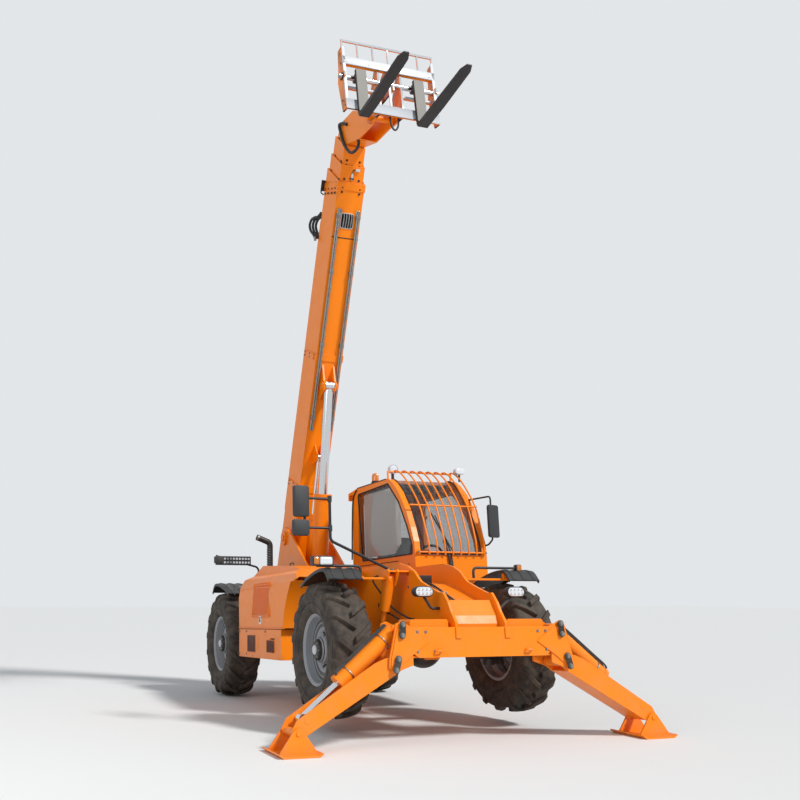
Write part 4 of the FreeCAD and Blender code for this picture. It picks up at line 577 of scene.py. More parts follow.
def ring_tree(finish):
    """Copies of the given mesh turned about the X axis."""
    tree, given = open_tree("ring_of_copies", (("Count", "NodeSocketInt", 16),
                                               ("First angle", "NodeSocketFloat", 0.0)))
    places = add(tree, "GeometryNodePoints", links=(("Count", given["Count"]),)).outputs[0]
    index = add(tree, "GeometryNodeInputIndex").outputs[0]
    share = add(tree, "ShaderNodeMath", {"operation": "DIVIDE"}, links=((0, index), (1, given["Count"]))).outputs[0]
    angle = add(tree, "ShaderNodeMath", {"operation": "MULTIPLY_ADD"}, {1: 2 * math.pi},
                ((0, share), (2, given["First angle"]))).outputs[0]
    turn = add(tree, "ShaderNodeCombineXYZ", links=(("X", angle),)).outputs[0]
    many = add(tree, "GeometryNodeInstanceOnPoints",
               links=(("Points", places), ("Instance", given["Geometry"]), ("Rotation", turn))).outputs[0]
    return close_tree(tree, many, finish)


def row_tree(finish):
    """Copies of the given mesh in a straight row."""
    tree, given = open_tree("row_of_copies", (("Count", "NodeSocketInt", 5),
                                              ("Step", "NodeSocketVector", (0.0, 0.0, 20.0))))
    index = add(tree, "GeometryNodeInputIndex").outputs[0]
    along = add(tree, "ShaderNodeVectorMath", {"operation": "SCALE"},
                links=((0, given["Step"]), ("Scale", index))).outputs[0]
    places = add(tree, "GeometryNodePoints", links=(("Count", given["Count"]), ("Position", along))).outputs[0]
    many = add(tree, "GeometryNodeInstanceOnPoints",
               links=(("Points", places), ("Instance", given["Geometry"]))).outputs[0]
    return close_tree(tree, many, finish)


def loose_mesh(shape):
    """The faces gathered in a Shape as a bare mesh, for a tree to repeat."""
    mesh = bpy.data.meshes.new(shape.name)
    shape.mesh.to_mesh(mesh)
    shape.mesh.free()
    return mesh


# The record's material slots, each with the finishes that belong to it; the first is what its CAD nodes show
SLOTS = {
    "orange_paint": ("orange", "orange_shade"),
    "black_paint": ("black_enamel",),
    "grey_paint": ("rim_grey", "rim_dark", "pale"),
    "tyre_rubber": ("tyre",),
    "black_plastic": ("plastic", "hose", "rubber", "shadow", "mesh_red"),
    "window_glass": ("glass", "mirror"),
    "chromed_rod": ("chrome",),
    "forged_black": ("fork", "shank_glare"),
    "seat_fabric": ("fabric", "blind", "lining"),
    "zinc_pipe": ("zinc", "steel"),
    "lamp_housing": ("plastic", "lens", "amber", "red"),
}


class TELEHANDLER_OT_finishes(bpy.types.Operator):
    """Makes the finishes and gives each CAD node the one of its material slot"""
    bl_idname = "telehandler.finishes"
    bl_label = "Finishes"

    def execute(self, context):
        FINISH.update({
            "orange": painted("orange_machine_enamel", tuple(context_looks().paint), "#F88200", 0.36),
            "black_enamel": painted("black_satin_enamel", "#1D1E20", "#26272A", 0.42, 0.2),
            "rim_grey": painted("grey_wheel_enamel", "#A0A3A8", "#8F9298", 0.36, 0.25, 0.3),
            # Darker grey for the wheel's well and the disc's face: painted shade
            "rim_dark": painted("wheel_enamel_painted_shade", "#55585D", "#45484D", 0.5, 0.1, 0.3),
            # Pale enamel; on the fork carriage's front it is a painted highlight of glare on orange paint
            "pale": painted("pale_enamel_and_painted_glare", "#D5D8DB", "#C4C7CB", 0.36, 0.4, 0.0),
            # Pale grey for the forks' front shank faces: a painted highlight of glare on black paint
            "shank_glare": painted("fork_shank_painted_glare", "#A5A29C", "#8A857E", 0.42, 0.1, 0.0),
            "fork": painted("forged_fork_black", "#26262A", "#3A3735", 0.5, 0.1, 0.0),
            "mesh_red": painted("red_brown_vent_mesh", "#6B2A1C", "#4A1D14", 0.6, 0.0, 0.2),
            "plastic": moulded_plastic("moulded_black_plastic", "#17181A"),
            "hose": moulded_plastic("hose_rubber_black", "#141517", 0.6),
            "rubber": moulded_plastic("sealing_rubber_black", "#101112", 0.7),
            # Black sheets put into gaps, openings and recesses: painted shade
            "shadow": moulded_plastic("painted_shade_black", "#0B0B0C", 0.9),
            "lining": moulded_plastic("grey_moulded_roof_lining", "#55575A", 0.8),
            "tyre": tyre_rubber(),
            "chrome": chrome(),
            "zinc": bare_metal("zinc_plated_steel", "#A9ABA8", 0.28, 0.45, 30.0),
            "steel": bare_metal("heat_stained_steel", "#8F8D89", 0.32, 0.55, 18.0),
            "glass": window_glass(),
            "lens": lamp_lens(),
            "amber": coloured_lens("amber_lens", "#F08A12"),
            "red": coloured_lens("red_lens", "#B31616"),
            "mirror": mirror_glass(),
            "fabric": seat_fabric("woven_seat_fabric", "#26272A", "#3A3B3F"),
            "blind": seat_fabric("pleated_blind_cloth", "#F4F6F3", "#E2E6E3"),
            "orange_shade": painted("orange_enamel_fine_mesh", "#EA6A12", "#DE610F", 0.55, 0.05),
        })
        for finish in ("zinc", "black_enamel"):
            BOLTS[finish] = bolt_tree(FINISH[finish])
        for part in frame["record"]["subparts"]:
            mesh = NODES[part["node"]].data
            mesh.materials.clear()
            mesh.materials.append(FINISH[SLOTS[part["material_slot"]][0]])
        return {"FINISHED"}


def bolts(shape, places, direction, finish="zinc", size=1.0):
    """Hexagon heads with washers at the places, all facing one way or each its own."""
    directions = direction if isinstance(direction, list) else [direction] * len(places)
    turns = [facing(d) for d in directions]
    head = context_looks().bolt_head * 500
    shape.grown(points_mesh(places, turns, [size] * len(places)), BOLTS[finish],
                {"Head radius": head, "Head height": head * 0.8, "Washer radius": head * 1.35}, finish)


def recut(name, node, body, choose, place, edge, slot):
    """A copy of a CAD node whose faces take finishes by where they face and lie; it stands for the node."""
    part = bmesh.new()
    part.from_mesh(NODES[node].data)
    bmesh.ops.remove_doubles(part, verts=part.verts, dist=0.00001)
    bmesh.ops.transform(part, matrix=place.inverted(), verts=part.verts)
    bmesh.ops.dissolve_limit(part, angle_limit=math.radians(1.0), verts=part.verts, edges=part.edges)
    bmesh.ops.recalc_face_normals(part, faces=part.faces)
    sharp = [e for e in part.edges if len(e.link_faces) == 2 and e.calc_face_angle(0) > 0.9]
    bmesh.ops.bevel(part, geom=sharp, offset=edge, segments=1, profile=0.5, affect="EDGES", clamp_overlap=True)
    bmesh.ops.triangulate(part, faces=[f for f in part.faces if len(f.verts) > 4])
    shape = Shape(name, place)
    numbers = [shape.number(choose(face.normal, face.calc_center_median())) for face in part.faces]
    for face, number in zip(part.faces, numbers):
        face.material_index = number
    shape.absorb(part)
    shape.done(body, node, slot=slot)


WHEELS = ("front_left", "front_right", "rear_left", "rear_right")
# Half the tyre's section: distance from its middle, radius
TYRE_PROFILE = ((0, 589), (60, 588), (120, 585), (160, 577), (180, 562), (191, 536), (194, 520), (199, 516),
                (200, 508), (198, 490), (200, 470), (199, 440), (193, 437), (193, 431), (198, 428), (195, 396),
                (184, 360), (166, 336), (148, 327), (128, 321), (90, 319.5))
LUGS_A_SIDE = 16
# One lug: distance from the tyre's middle, distance round the tread, half thickness, foot radius, top radius
LUG = ((-6, 0, 25, 560, 630), (40, 31, 26, 562, 630), (90, 72, 27, 560, 626), (136, 112, 29, 556, 616),
       (162, 135, 32, 540, 610), (182, 148, 33, 520, 592), (197, 156, 33, 490, 552), (201, 158, 32, 480, 524))


def lug_source():
    """One tread lug on top of the tyre, closed at both ends."""
    shape = Shape("lug")
    rows = []
    for x, along, half, low, high in LUG:
        row = []
        for off, r in ((-half - 7, low), (-half, high - 5), (-half + 5, high), (half - 5, high),
                       (half, high - 5), (half + 7, low), (-half - 7, low)):
            a = (along + off) / 600
            row.append((x, r * math.sin(a), r * math.cos(a)))
        rows.append(row)
    shape.skin(rows, "tyre")
    bmesh.ops.remove_doubles(shape.mesh, verts=shape.mesh.verts, dist=0.01)
    bmesh.ops.holes_fill(shape.mesh, edges=shape.mesh.edges)
    return shape


class TELEHANDLER_OT_wheels(bpy.types.Operator):
    """Treads the four tyres and dresses their rims with nuts, hub and cap"""
    bl_idname = "telehandler.wheels"
    bl_label = "Wheels"

    def execute(self, context):
        looks = context_looks()
        for name in WHEELS:
            place = wheel_place(name)
            tyre = Shape("tyre_tread_" + name, place)
            profile = list(TYRE_PROFILE) + [(-x, r) for x, r in reversed(TYRE_PROFILE[1:])]
            tyre.lathe(profile, "tyre", 96)
            ring = ring_tree(FINISH["tyre"])
            for side, first in ((1, 0.0), (-1, math.pi / LUGS_A_SIDE)):
                lug = loose_mesh(lug_source())
                lug.transform(Matrix.Scale(side, 4, (1, 0, 0)))
                tyre.grown(lug, ring, {"Count": LUGS_A_SIDE, "First angle": first}, "tyre")
            tyre.done("wheel_" + name, "tyre_" + name, smooth=32)
            self.rim(name, place, looks.wheel_nuts)
        return {"FINISHED"}

    def rim(self, name, place, count):
        """The rim's rings, its hub and cap, the wheel nuts and the valve."""
        rim = Shape("wheel_hub_" + name, place)
        # The rim's well in a darker grey: painted shade
        rim.lathe([(35, 146), (39, 141), (60.8, 206), (62.5, 214), (61.4, 216), (59, 206)], "rim_dark", 64)
        rim.lathe([(36, 139), (113.5, 114.5), (118, 104), (151.5, 94), (163.5, 80), (163.5, 0)], "black_enamel", 48)
        rim.lathe([(162, 46), (170, 45), (176, 38), (178, 26), (179, 0)], "pale", 40)
        # The disc's face between two bright rings, in the darker grey of painted shade
        rim.lathe([(73, 208), (75, 210), (75, 288), (73, 290)], "rim_dark", 72)
        for r, x in ((250, 75), (297, 74)):
            rim.lathe([(x, r - 6), (x + 4, r - 4), (x + 5, r), (x + 4, r + 4), (x, r + 6)], "rim_grey", 72)
        bolts(rim, [(48, s, c) for c, s in circle(count, 170, 0.5)], (1, 0, 0), "zinc", 1.7)
        bolts(rim, [(158, s, c) for c, s in circle(8, 86)], (1, 0, 0), "zinc", 0.8)
        rim.rod((60, 262, 0), (92, 262, 0), 6, "hose", 10)
        rim.done("wheel_" + name, slot="grey_paint")


# A mudguard's arc over its wheel: distance away from the machine's middle, height over the axle
GUARD_ARC = ((-366, 612), (-204, 680), (66, 741), (276, 744), (386, 648))


class TELEHANDLER_OT_mudguards(bpy.types.Operator):
    """Gives the moulded mudguards their smooth arc, ribs and rolled lips"""
    bl_idname = "telehandler.mudguards"
    bl_label = "Mudguards"

    def execute(self, context):
        shape = Shape("mudguards_smooth")
        for end in (-1, 1):
            for side in (-1, 1):
                self.guard(shape, end, side)
        shape.done("root", "fenders", smooth=40)
        return {"FINISHED"}

    def guard(self, shape, end, side):
        # The section: distance across, height over the outer face
        ring = [(790, -24), (790, -5), (795, 0)]
        for k in range(3):
            x = 850 + 115 * k
            ring += [(x - 16, 0), (x - 11, 7), (x + 11, 7), (x + 16, 0)]
        ring += [(1134, 0), (1139, -4), (1140, -34), (1128, -34), (1128, -12), (802, -12), (802, -24)]
        rows = []
        for point in smooth_line([(0, out, up) for out, up in GUARD_ARC], 5):
            reach = math.hypot(point.y, point.z)
            row = []
            for x, above in ring + ring[:1]:
                scale = 1 + above / reach
                row.append((side * x, end * (AXLE_Y + point.y * scale), TYRE_RADIUS + point.z * scale))
            rows.append(row)
        shape.skin(rows, "plastic")
        bmesh.ops.remove_doubles(shape.mesh, verts=shape.mesh.verts, dist=0.01)
        open_edges = [e for e in shape.mesh.edges if len(e.link_faces) == 1]
        bmesh.ops.holes_fill(shape.mesh, edges=open_edges)


# The windscreen guard from the side, and its bars' places across at the foot, the middle and the top
GUARD_FOOT = 1590
GUARD_MIDDLE = 2139
GUARD_TOP = 2597
GUARD_LINE = ((-1085, GUARD_FOOT), (-1081, 1720), (-1015, 1930), (-930, GUARD_MIDDLE), (-770, 2340),
              (-605, 2500), (-450, 2590), (-345, GUARD_TOP))
GUARD_BARS = 8
GUARD_SPREAD = ((425, 1100), (405, 1110), (395, 1122))


class TELEHANDLER_OT_cab_guard(bpy.types.Operator):
    """Builds the round bars that guard the windscreen"""
    bl_idname = "telehandler.cab_guard"
    bl_label = "Windscreen guard"

    def execute(self, context):
        radius = context_looks().guard_bar * 500
        shape = Shape("windscreen_guard")
        line = smooth_line([(0, y, z) for y, z in GUARD_LINE], 6)
        for k in range(GUARD_BARS):
            low, middle, high = (a + (b - a) * (k / (GUARD_BARS - 1)) for a, b in GUARD_SPREAD)
            bar = []
            for point in line:
                if point.z < GUARD_MIDDLE:
                    x = low + (middle - low) * (point.z - GUARD_FOOT) / (GUARD_MIDDLE - GUARD_FOOT)
                else:
                    x = middle + (high - middle) * (point.z - GUARD_MIDDLE) / (GUARD_TOP - GUARD_MIDDLE)
                bar.append((x, point.y + 4, point.z))
            shape.sweep(bar, radius, "orange", 12)
        for y, z in ((-1074, 1614), (-921, GUARD_MIDDLE), (-389, 2586)):
            shape.rod((291, y, z), (1129, y, z), radius, "orange", 14)
        for x in (300, 1120):
            shape.block(x - 10, x + 10, -395, -383, 2501, 2588, "orange", 2)
            shape.block(x - 11, x + 11, -1078, -1046, 1604, 1624, "orange", 2)
        bolts(shape, [(x, -1079, 1614) for x in (300, 1120)], (0, -1, 0))
        shape.done("root", "cab_guard", smooth=35)
        return {"FINISHED"}


def oval_ring(x, z, width, height, count=40):
    """An outline with a straight middle and round ends."""
    reach = (width - height) / 2
    points = []
    for c, s in circle(count, 1):
        shift = (reach if c > 0 else -reach) * min(1, abs(c) * 3)
        points.append((x + shift + height / 2 * c, z + height / 2 * s))
    return points


def lens_cap(shape, outline, y0, depth, finish):
    """A domed lens over an outline at the depth y0, bulging towards the front."""
    cx = sum(p[0] for p in outline) / len(outline)
    cz = sum(p[1] for p in outline) / len(outline)
    ring = outline + outline[:1]
    rows = []
    for share, out in ((1.0, 0.0), (0.97, 0.35), (0.85, 0.72), (0.6, 0.93), (0.3, 0.99), (0.02, 1.0)):
        rows.append([(cx + (x - cx) * share, y0 - depth * out, cz + (z - cz) * share) for x, z in ring])
    shape.skin(rows, finish)


LAMP_Z = 1147


class TELEHANDLER_OT_lamps(bpy.types.Operator):
    """Fits lenses, bezels and shells to the working and road lamps"""
    bl_idname = "telehandler.lamps"
    bl_label = "Lamps"

    def execute(self, context):
        self.front()
        self.rear()
        self.roof()
        return {"FINISHED"}

    def front(self):
        shape = Shape("lamp_lenses")
        for x, y in ((-430, -2529), (500, -2559)):
            ring = oval_ring(x, LAMP_Z, 172, 82)
            shape.prism(oval_ring(x, LAMP_Z, 190, 98), "y", y - 1, y + 26, "plastic", 6)
            lens_cap(shape, ring, y - 2, 13, "lens")
            shape.sweep([(px, y - 3, pz) for px, pz in ring], 5, "black_enamel", 8, closed=True)
            # Eight reflectors in two rows behind the lens
            for px in (x - 58, x - 20, x + 20, x + 58):
                for pz in (LAMP_Z - 17, LAMP_Z + 17):
                    shape.rod((px, y - 4, pz), (px, y - 17, pz), 12, "chrome", 16, 3)
        # Road lamps over the mudguards: amber outside and clear inside on the right, amber alone on the left
        shape.prism(rounded_outline(-1248, -1042, 1402, 1494, 18), "y", -1912, -1836, "plastic", 5)
        lens_cap(shape, rounded_outline(-1238, -1184, 1412, 1484, 12), -1912, 9, "amber")
        lens_cap(shape, rounded_outline(-1176, -1052, 1412, 1484, 14), -1912, 10, "lens")
        shape.prism(rounded_outline(955, 1015, 1372, 1440, 14), "y", -1905, -1850, "plastic", 5)
        lens_cap(shape, rounded_outline(960, 1010, 1378, 1434, 12), -1905, 7, "amber")
        shape.prism(rounded_outline(-1153, -1037, 1647, 1738, 14), "y", 1842, 1905, "plastic", 5)
        # The long working lamp on the rear rail
        shape.block(-1136, -657, 1850, 1898, 1626, 1742, "plastic", 7)
        for z0, z1 in ((1640, 1680), (1688, 1728)):
            # A black sheet behind each row of reflectors: painted shade
            shape.prism(rounded_outline(-1122, -671, z0, z1, 8, 4), "y", 1847, 1851, "shadow", 0)
            for k in range(11):
                x = -1101 + 41 * k
                shape.prism(rounded_outline(x - 14, x + 14, z0 + 7, z1 - 7, 5, 3), "y", 1845, 1848, "chrome", 0)
        for k in range(11):
            x = -1121 + 45 * k
            shape.block(x - 3, x + 3, 1896, 1912, 1634, 1734, "plastic", 0.8)
        shape.done("root", slot="lamp_housing")

    def rear(self):
        rear = Shape("rear_lamp_lenses")
        for z0, z1, finish in ((1654, 1690, "red"), (1694, 1731, "amber")):
            rows = []
            outline = rounded_outline(-1146, -1044, z0, z1, 8)
            ring = outline + outline[:1]
            cx, cz = -1095, (z0 + z1) / 2
            for share, out in ((1.0, 0.0), (0.95, 4.0), (0.7, 6.5), (0.05, 7.0)):
                rows.append([(cx + (x - cx) * share, 1904 + out, cz + (z - cz) * share) for x, z in ring])
            rear.skin(rows, finish)
        # Rear light clusters on the counterweight's back
        for x in (-500, 500):
            rear.prism(rounded_outline(x - 60, x + 60, 938, 982, 10), "y", 2439, 2455, "plastic", 3)
            for dx, finish in ((-38, "amber"), (0, "red"), (38, "lens")):
                rear.rod((x + dx, 2452, 960), (x + dx, 2462, 960), 16, finish, 20, 3)
        rear.done("root", slot="lamp_housing")

    def roof(self):
        roof = Shape("roof_lamps_dressed")
        turn = Matrix.Translation((420, -240, 2635)) @ Matrix.Rotation(math.radians(-90), 4, "Z")
        roof.lathe([(0, 0), (0, 40), (6, 50), (40, 56), (66, 57), (72, 54), (72, 49), (60, 47)], "pale", 40, turn)
        roof.lathe([(62, 49), (72, 44), (77, 25), (79, 0)], "lens", 40, turn)
        roof.block(410, 430, -290, -250, 2500.4, 2600, "plastic", 2)
        roof.prism(oval_ring(1136, 2594, 130, 76), "y", -600, -540, "pale", 6)
        lens_cap(roof, oval_ring(1136, 2594, 116, 62), -600, 8, "lens")
        roof.block(1127, 1145, -575, -555, 2475, 2565, "plastic", 2)
        # The beacon: a black base with an amber dome
        up = Matrix.Translation((322, 0, 2500.4)) @ Matrix.Rotation(math.radians(-90), 4, "Y")
        roof.lathe([(0, 0), (0, 50), (16, 50), (22, 44), (30, 44), (30, 0)], "plastic", 36, up)
        dome = [(30, 43), (70, 43), (92, 41), (112, 34), (124, 20), (128, 0)]
        roof.lathe([(30, 0)] + dome, "amber", 36, up)
        roof.done("root", "roof_lamps", slot="lamp_housing")


class TELEHANDLER_OT_mirrors(bpy.types.Operator):
    """Builds the mirror heads with their glass, arms and clamps"""
    bl_idname = "telehandler.mirrors"
    bl_label = "Mirrors"

    def execute(self, context):
        y = -1850
        shape = Shape("mirrors_dressed")
        for x0, x1, z0, z1 in ((-1430, -1270, 1856, 2155), (-1440, -1270, 1678, 1833)):
            shape.prism(rounded_outline(x0, x1, z0, z1, 26), "y", y - 50, y - 10, "plastic", 11)
            shape.prism(rounded_outline(x0 + 9, x1 - 9, z0 + 9, z1 - 9, 20), "y", y - 11, y - 7, "mirror", 1)
        for z in (2040, 1760):
            shape.rod((-1300, y, z), (-1043, y, z), 12, "black_enamel")
            shape.rod((-1043, y, z - 28), (-1043, y, z + 28), 21, "plastic")
            shape.block(-1324, -1288, y - 22, y + 14, z - 20, z + 20, "plastic", 5)
        shape.block(-1316, -1294, y - 16, y + 8, 1745, 2055, "black_enamel", 3)
        post = rounded_line([(-1043, y, 2062), (-1043, y, 1642), (-452, y, 1386)], 60, 6)
        shape.sweep(post, 14, "black_enamel", 16)
        shape.block(-476, -404, y - 50, y + 50, 1360.5, 1374, "black_enamel", 2)
        bolts(shape, [(x, y + dy, 1374) for x in (-464, -416) for dy in (-38, 38)], (0, 0, 1))
        shape.skin([[(-560, py, 1433), (-452, py, 1386), (-452, py, 1374)] for py in (y - 3, y + 3)],
                   "black_enamel", 2)
        # The other mirror on its loop from the cab's front corner
        loop = rounded_line([(1134, -1016, 1700), (1143, -1105, 1700), (1195, -1111, 1760), (1195, -1111, 2240),
                             (1136, -728, 2240)], 40, 6)
        shape.sweep(loop, 10, "black_enamel", 14)
        turn = Matrix.Translation((1195, -1111, 0)) @ Matrix.Rotation(math.radians(20), 4, "Z")
        shape.prism(rounded_outline(-85, 85, 1780, 2140, 28), "y", -40, -5, "plastic", 11, turn)
        shape.prism(rounded_outline(-76, 76, 1789, 2131, 22), "y", -6, -2, "mirror", 1, turn)
        shape.done("root", "mirrors", smooth=35)
        return {"FINISHED"}


def carriage_finish(normal, centre):
    """Front faces and the top bar's upper face in pale, a painted highlight of the sun's glare on the orange paint; a
    bright shaft and orange for the rest of the fork frame.
    """
    if math.hypot(centre.y, centre.z) < 32 and abs(normal.x) < 0.7:
        return "chrome"
    if normal.y < -0.6 and centre.y < 60:
        return "pale"
    if normal.z > 0.8 and 465 < centre.z < 520:
        return "pale"
    return "orange"


def fork_finish(normal, centre):
    """Pale grey shank faces in front, a painted highlight of glare on the black forks, and black blades."""
    if normal.y < -0.7 and -520 < centre.z < 62:
        return "shank_glare"
    return "fork"


class TELEHANDLER_OT_carriage(bpy.types.Operator):
    """Paints the fork carriage and the tines by face, and adds their washers, pins and stops"""
    bl_idname = "telehandler.carriage"
    bl_label = "Fork carriage"

    def execute(self, context):
        recut("fork_carriage_painted", "fork_carriage", "carriage", carriage_finish, CARRIAGE, 1.2, "orange_paint")
        # The tines' front shank faces take a pale grey as a painted highlight of glare
        recut("fork_right_shank_glare", "fork_right", "fork_right", fork_finish, CARRIAGE, 1.5, "forged_black")
        recut("fork_left_shank_glare", "fork_left", "fork_left", fork_finish, CARRIAGE, 1.5, "forged_black")
        shape = Shape("carriage_fittings", CARRIAGE)
        for side in (-1, 1):
            shape.rod((side * 590.5, 0, 0), (side * 602, 0, 0), 46, "plastic", 28)
            shape.rod((side * 628, 0, 0), (side * 634, 0, 0), 24, "zinc", 24)
            bolts(shape, [(side * 590, y, z) for y, z in ((20, 330), (20, 200), (-20, -400), (40, -300))],
                  (side, 0, 0))
        # Pale posts down both sides and at the middle, in front of the frame, and a pale bar across: their pale is a
        # painted highlight of glare on the orange paint
        for x0, x1, z0, z1 in ((-590, -554, -331, 400), (554, 590, -331, 400), (-34, -4, -331, 160)):
            shape.block(x0, x1, -43, -31, z0, z1, "pale", 2)
        shape.block(-589, 589, -43, -31, 158, 262, "pale", 2)
        bolts(shape, [(x, -43, 200) for x in (-520, -260, 260, 520)], (0, -1, 0), "zinc", 0.9)
        run = [(-30, -12, -340), (-32, -6, -440), (-20, 6, -548), (22, 12, -600), (62, 6, -556), (76, -6, -440),
               (74, -12, -340)]
        shape.sweep(smooth_line(run, 7), 11, "hose", 12)
        shape.block(-60, 104, -30, 4, -352, -320, "orange", 3)
        shape.done("carriage", slot="orange_paint")
        return {"FINISHED"}


def boom_end_fittings(shape, half, low, high, front):
    """Bolt heads of the wear pads round the front end of a boom section, on its sides and underside."""
    for side in (-1, 1):
        for share in (0.12, 0.36, 0.64, 0.88):
            z = low + (high - low) * share
            places = [(side * half, 62 - front, z), (side * half, 120 - front, z)]
            bolts(shape, places, (side, 0, 0), "black_enamel", 1.1)
    places = [(x, -front + dy, low) for x in (-half * 0.62, half * 0.62) for dy in (48, 104)]
    bolts(shape, places, (0, 0, -1), "black_enamel", 1.1)


class TELEHANDLER_OT_boom(bpy.types.Operator):
    """Adds the boom's bolts, wear pads, hose loops and pipe bends"""
    bl_idname = "telehandler.boom"
    bl_label = "Boom fittings"

    def execute(self, context):
        self.base()
        self.section_two()
        self.section_three()
        self.head()
        return {"FINISHED"}

    def pad_strips(self, shape, half, low, high, front):
        """Black wear pads that show in the gap round the next section."""
        for side in (-1, 1):
            x0, x1 = sorted((side * half, side * (half - 11)))
            for z0, z1 in ((low + 24, low + 110), (high - 120, high - 34)):
                y = -(front + END_RAKE * ((z0 + z1) / 2 - low))
                shape.block(x0, x1, y - 3, y + 70, z0, z1, "plastic", 1)

    def base(self):
        shape = Shape("boom_base_fittings", BOOM)
        boom_end_fittings(shape, 189, -105, 345, 4650)
        self.pad_strips(shape, 168, -105, 345, 4680)
        # Steel pipes end in bends that turn back into the underside
        for side in (-1, 1):
            for near, far in ((103, 122), (127, 146)):
                run = [(side * far, -4290, -135), (side * far, -4318, -136),
                       (side * (near + far) / 2, -4334, -138), (side * near, -4318, -136),
                       (side * near, -4270, -134)]
                shape.sweep(smooth_line(run, 6), 10, "zinc", 12)
            for y in (1670, 2620, 3550, 4250):
                bolts(shape, [(side * 134, -y, -151)], (0, 0, -1))
        # The long access opening under the boom, with hoses inside; a black sheet in it is painted shade
        frame_line = [(x, y, -106) for x, y in rounded_outline(-84, 84, -4292, -4108, 26, 6)]
        shape.sweep(frame_line, 5, "pale", 8, closed=True)
        shape.prism(rounded_outline(-82, 82, -4290, -4110, 25, 6), "z", -106.5, -105.2, "shadow", 0)
        for k in range(4):
            x = -52 + 34 * k
            run = [(x, -4288, -110), (x + 4, -4240, -118), (x + 2, -4160, -118), (x, -4112, -110)]
            shape.sweep(smooth_line(run, 5), 9, "zinc", 10)
        # A black strip across the underside: painted shade
        shape.prism([(-180, -3990), (180, -3990), (180, -3978), (-180, -3978)], "z", -107, -105, "shadow", 0)
        # Hose loop over the end of the hose tray
        for dx, rise in ((0, 0), (30, -36), (60, -70)):
            x = -214 + dx
            run = [(x, -3960, 398), (x, -4000, 470 + rise / 2), (x, -4050, 590 + rise),
                   (x, -4120, 655 + rise), (x, -4190, 620 + rise), (x + 6, -4226, 520 + rise / 2),
                   (x + 20, -4236, 440), (x + 40, -4290, 384)]
            shape.sweep(smooth_line(run, 6), context_looks().hose * 500, "hose", 14)
        shape.rod((-214, -3925, 380), (-214, -3972, 400), 17, "zinc", 16)
        shape.block(-236, -150, -4700, -4560, 346, 356, "black_enamel", 3)
        loop = [(-190, -4520, 350), (-190, -4545, 452), (-190, -4655, 452), (-190, -4668, 350)]
        shape.sweep(rounded_line(loop, 40, 6), 9, "black_enamel", 12)
        for along in (700, 2450, 4620):
            for side in (-1, 1):
                shape.block(*sorted((side * 189, side * 192)), -along - 40, -along + 40, -70, 310, "orange", 1)
        for y in (-700, -2450):
            heads = [(s, y + d, z) for s in (-1, 1) for d in (-24, 24) for z in (-48, 120, 288)]
            bolts(shape, [(s * 192, py, pz) for s, py, pz in heads], [(s, 0, 0) for s, _, _ in heads])
        # Covers on the tray, with their bolts
        for k in range(5):
            y1 = -420 - 745 * k
            shape.block(-140, 140, y1 - 715, y1, 425, 429, "orange", 2)
            bolts(shape, [(x, y1 - d, 429) for x in (-122, 122) for d in (24, 690)], (0, 0, 1), "zinc", 0.8)
        shape.done("boom", slot="black_plastic")

    def section_two(self):
        shape = Shape("boom_section_2_fittings", BOOM)
        boom_end_fittings(shape, 160, -81, 321, 4760)
        self.pad_strips(shape, 150, -81, 321, 4885)
        shape.rod((-4, -4706, -97), (-4, -4782, -97), 14, "pale", 18)
        shape.rod((-4, -4782, -97), (-4, -4800, -97), 9, "zinc", 16)
        shape.block(-26, 18, -4730, -4712, -113, -80, "black_enamel", 2)
        shape.block(34, 92, -4852, -4818, -104, -80, "pale", 3)
        run = [(-4, -4800, -97), (6, -4830, -99), (30, -4838, -97), (50, -4836, -94)]
        shape.sweep(smooth_line(run, 5), 6, "hose", 10)
        shape.done("boom_2", slot="zinc_pipe")

    def section_three(self):
        shape = Shape("boom_section_3_fittings", BOOM)
        boom_end_fittings(shape, 142, -61, 301, 4990)
        self.pad_strips(shape, 134, -61, 301, 5120)
        shape.block(-110, 110, -5200, -5120, 302, 312, "black_enamel", 3)
        shape.done("boom_3", slot="zinc_pipe")

    def head(self):
        shape = Shape("boom_head_hoses", BOOM)
        hose = context_looks().hose * 560
        run = [(-132, -5374, -35), (-148, -5398, 80), (-150, -5386, 190), (-148, -5276, 106),
               (-148, -5132, -49), (-148, -5025, -255), (-146, -5010, -390), (-136, -5050, -468),
               (-118, -5112, -455), (-106, -5175, -392)]
        shape.sweep(smooth_line(run, 8), hose, "hose", 16)
        shape.rod((-104, -5160, -334), (-106, -5192, -366), 17, "zinc", 12)
        shape.done("boom_4", slot="black_plastic")


BONNET_SIDE = -1130
ENGINE_BOX_SIDE = -1124
WHEEL_ARCH = 934


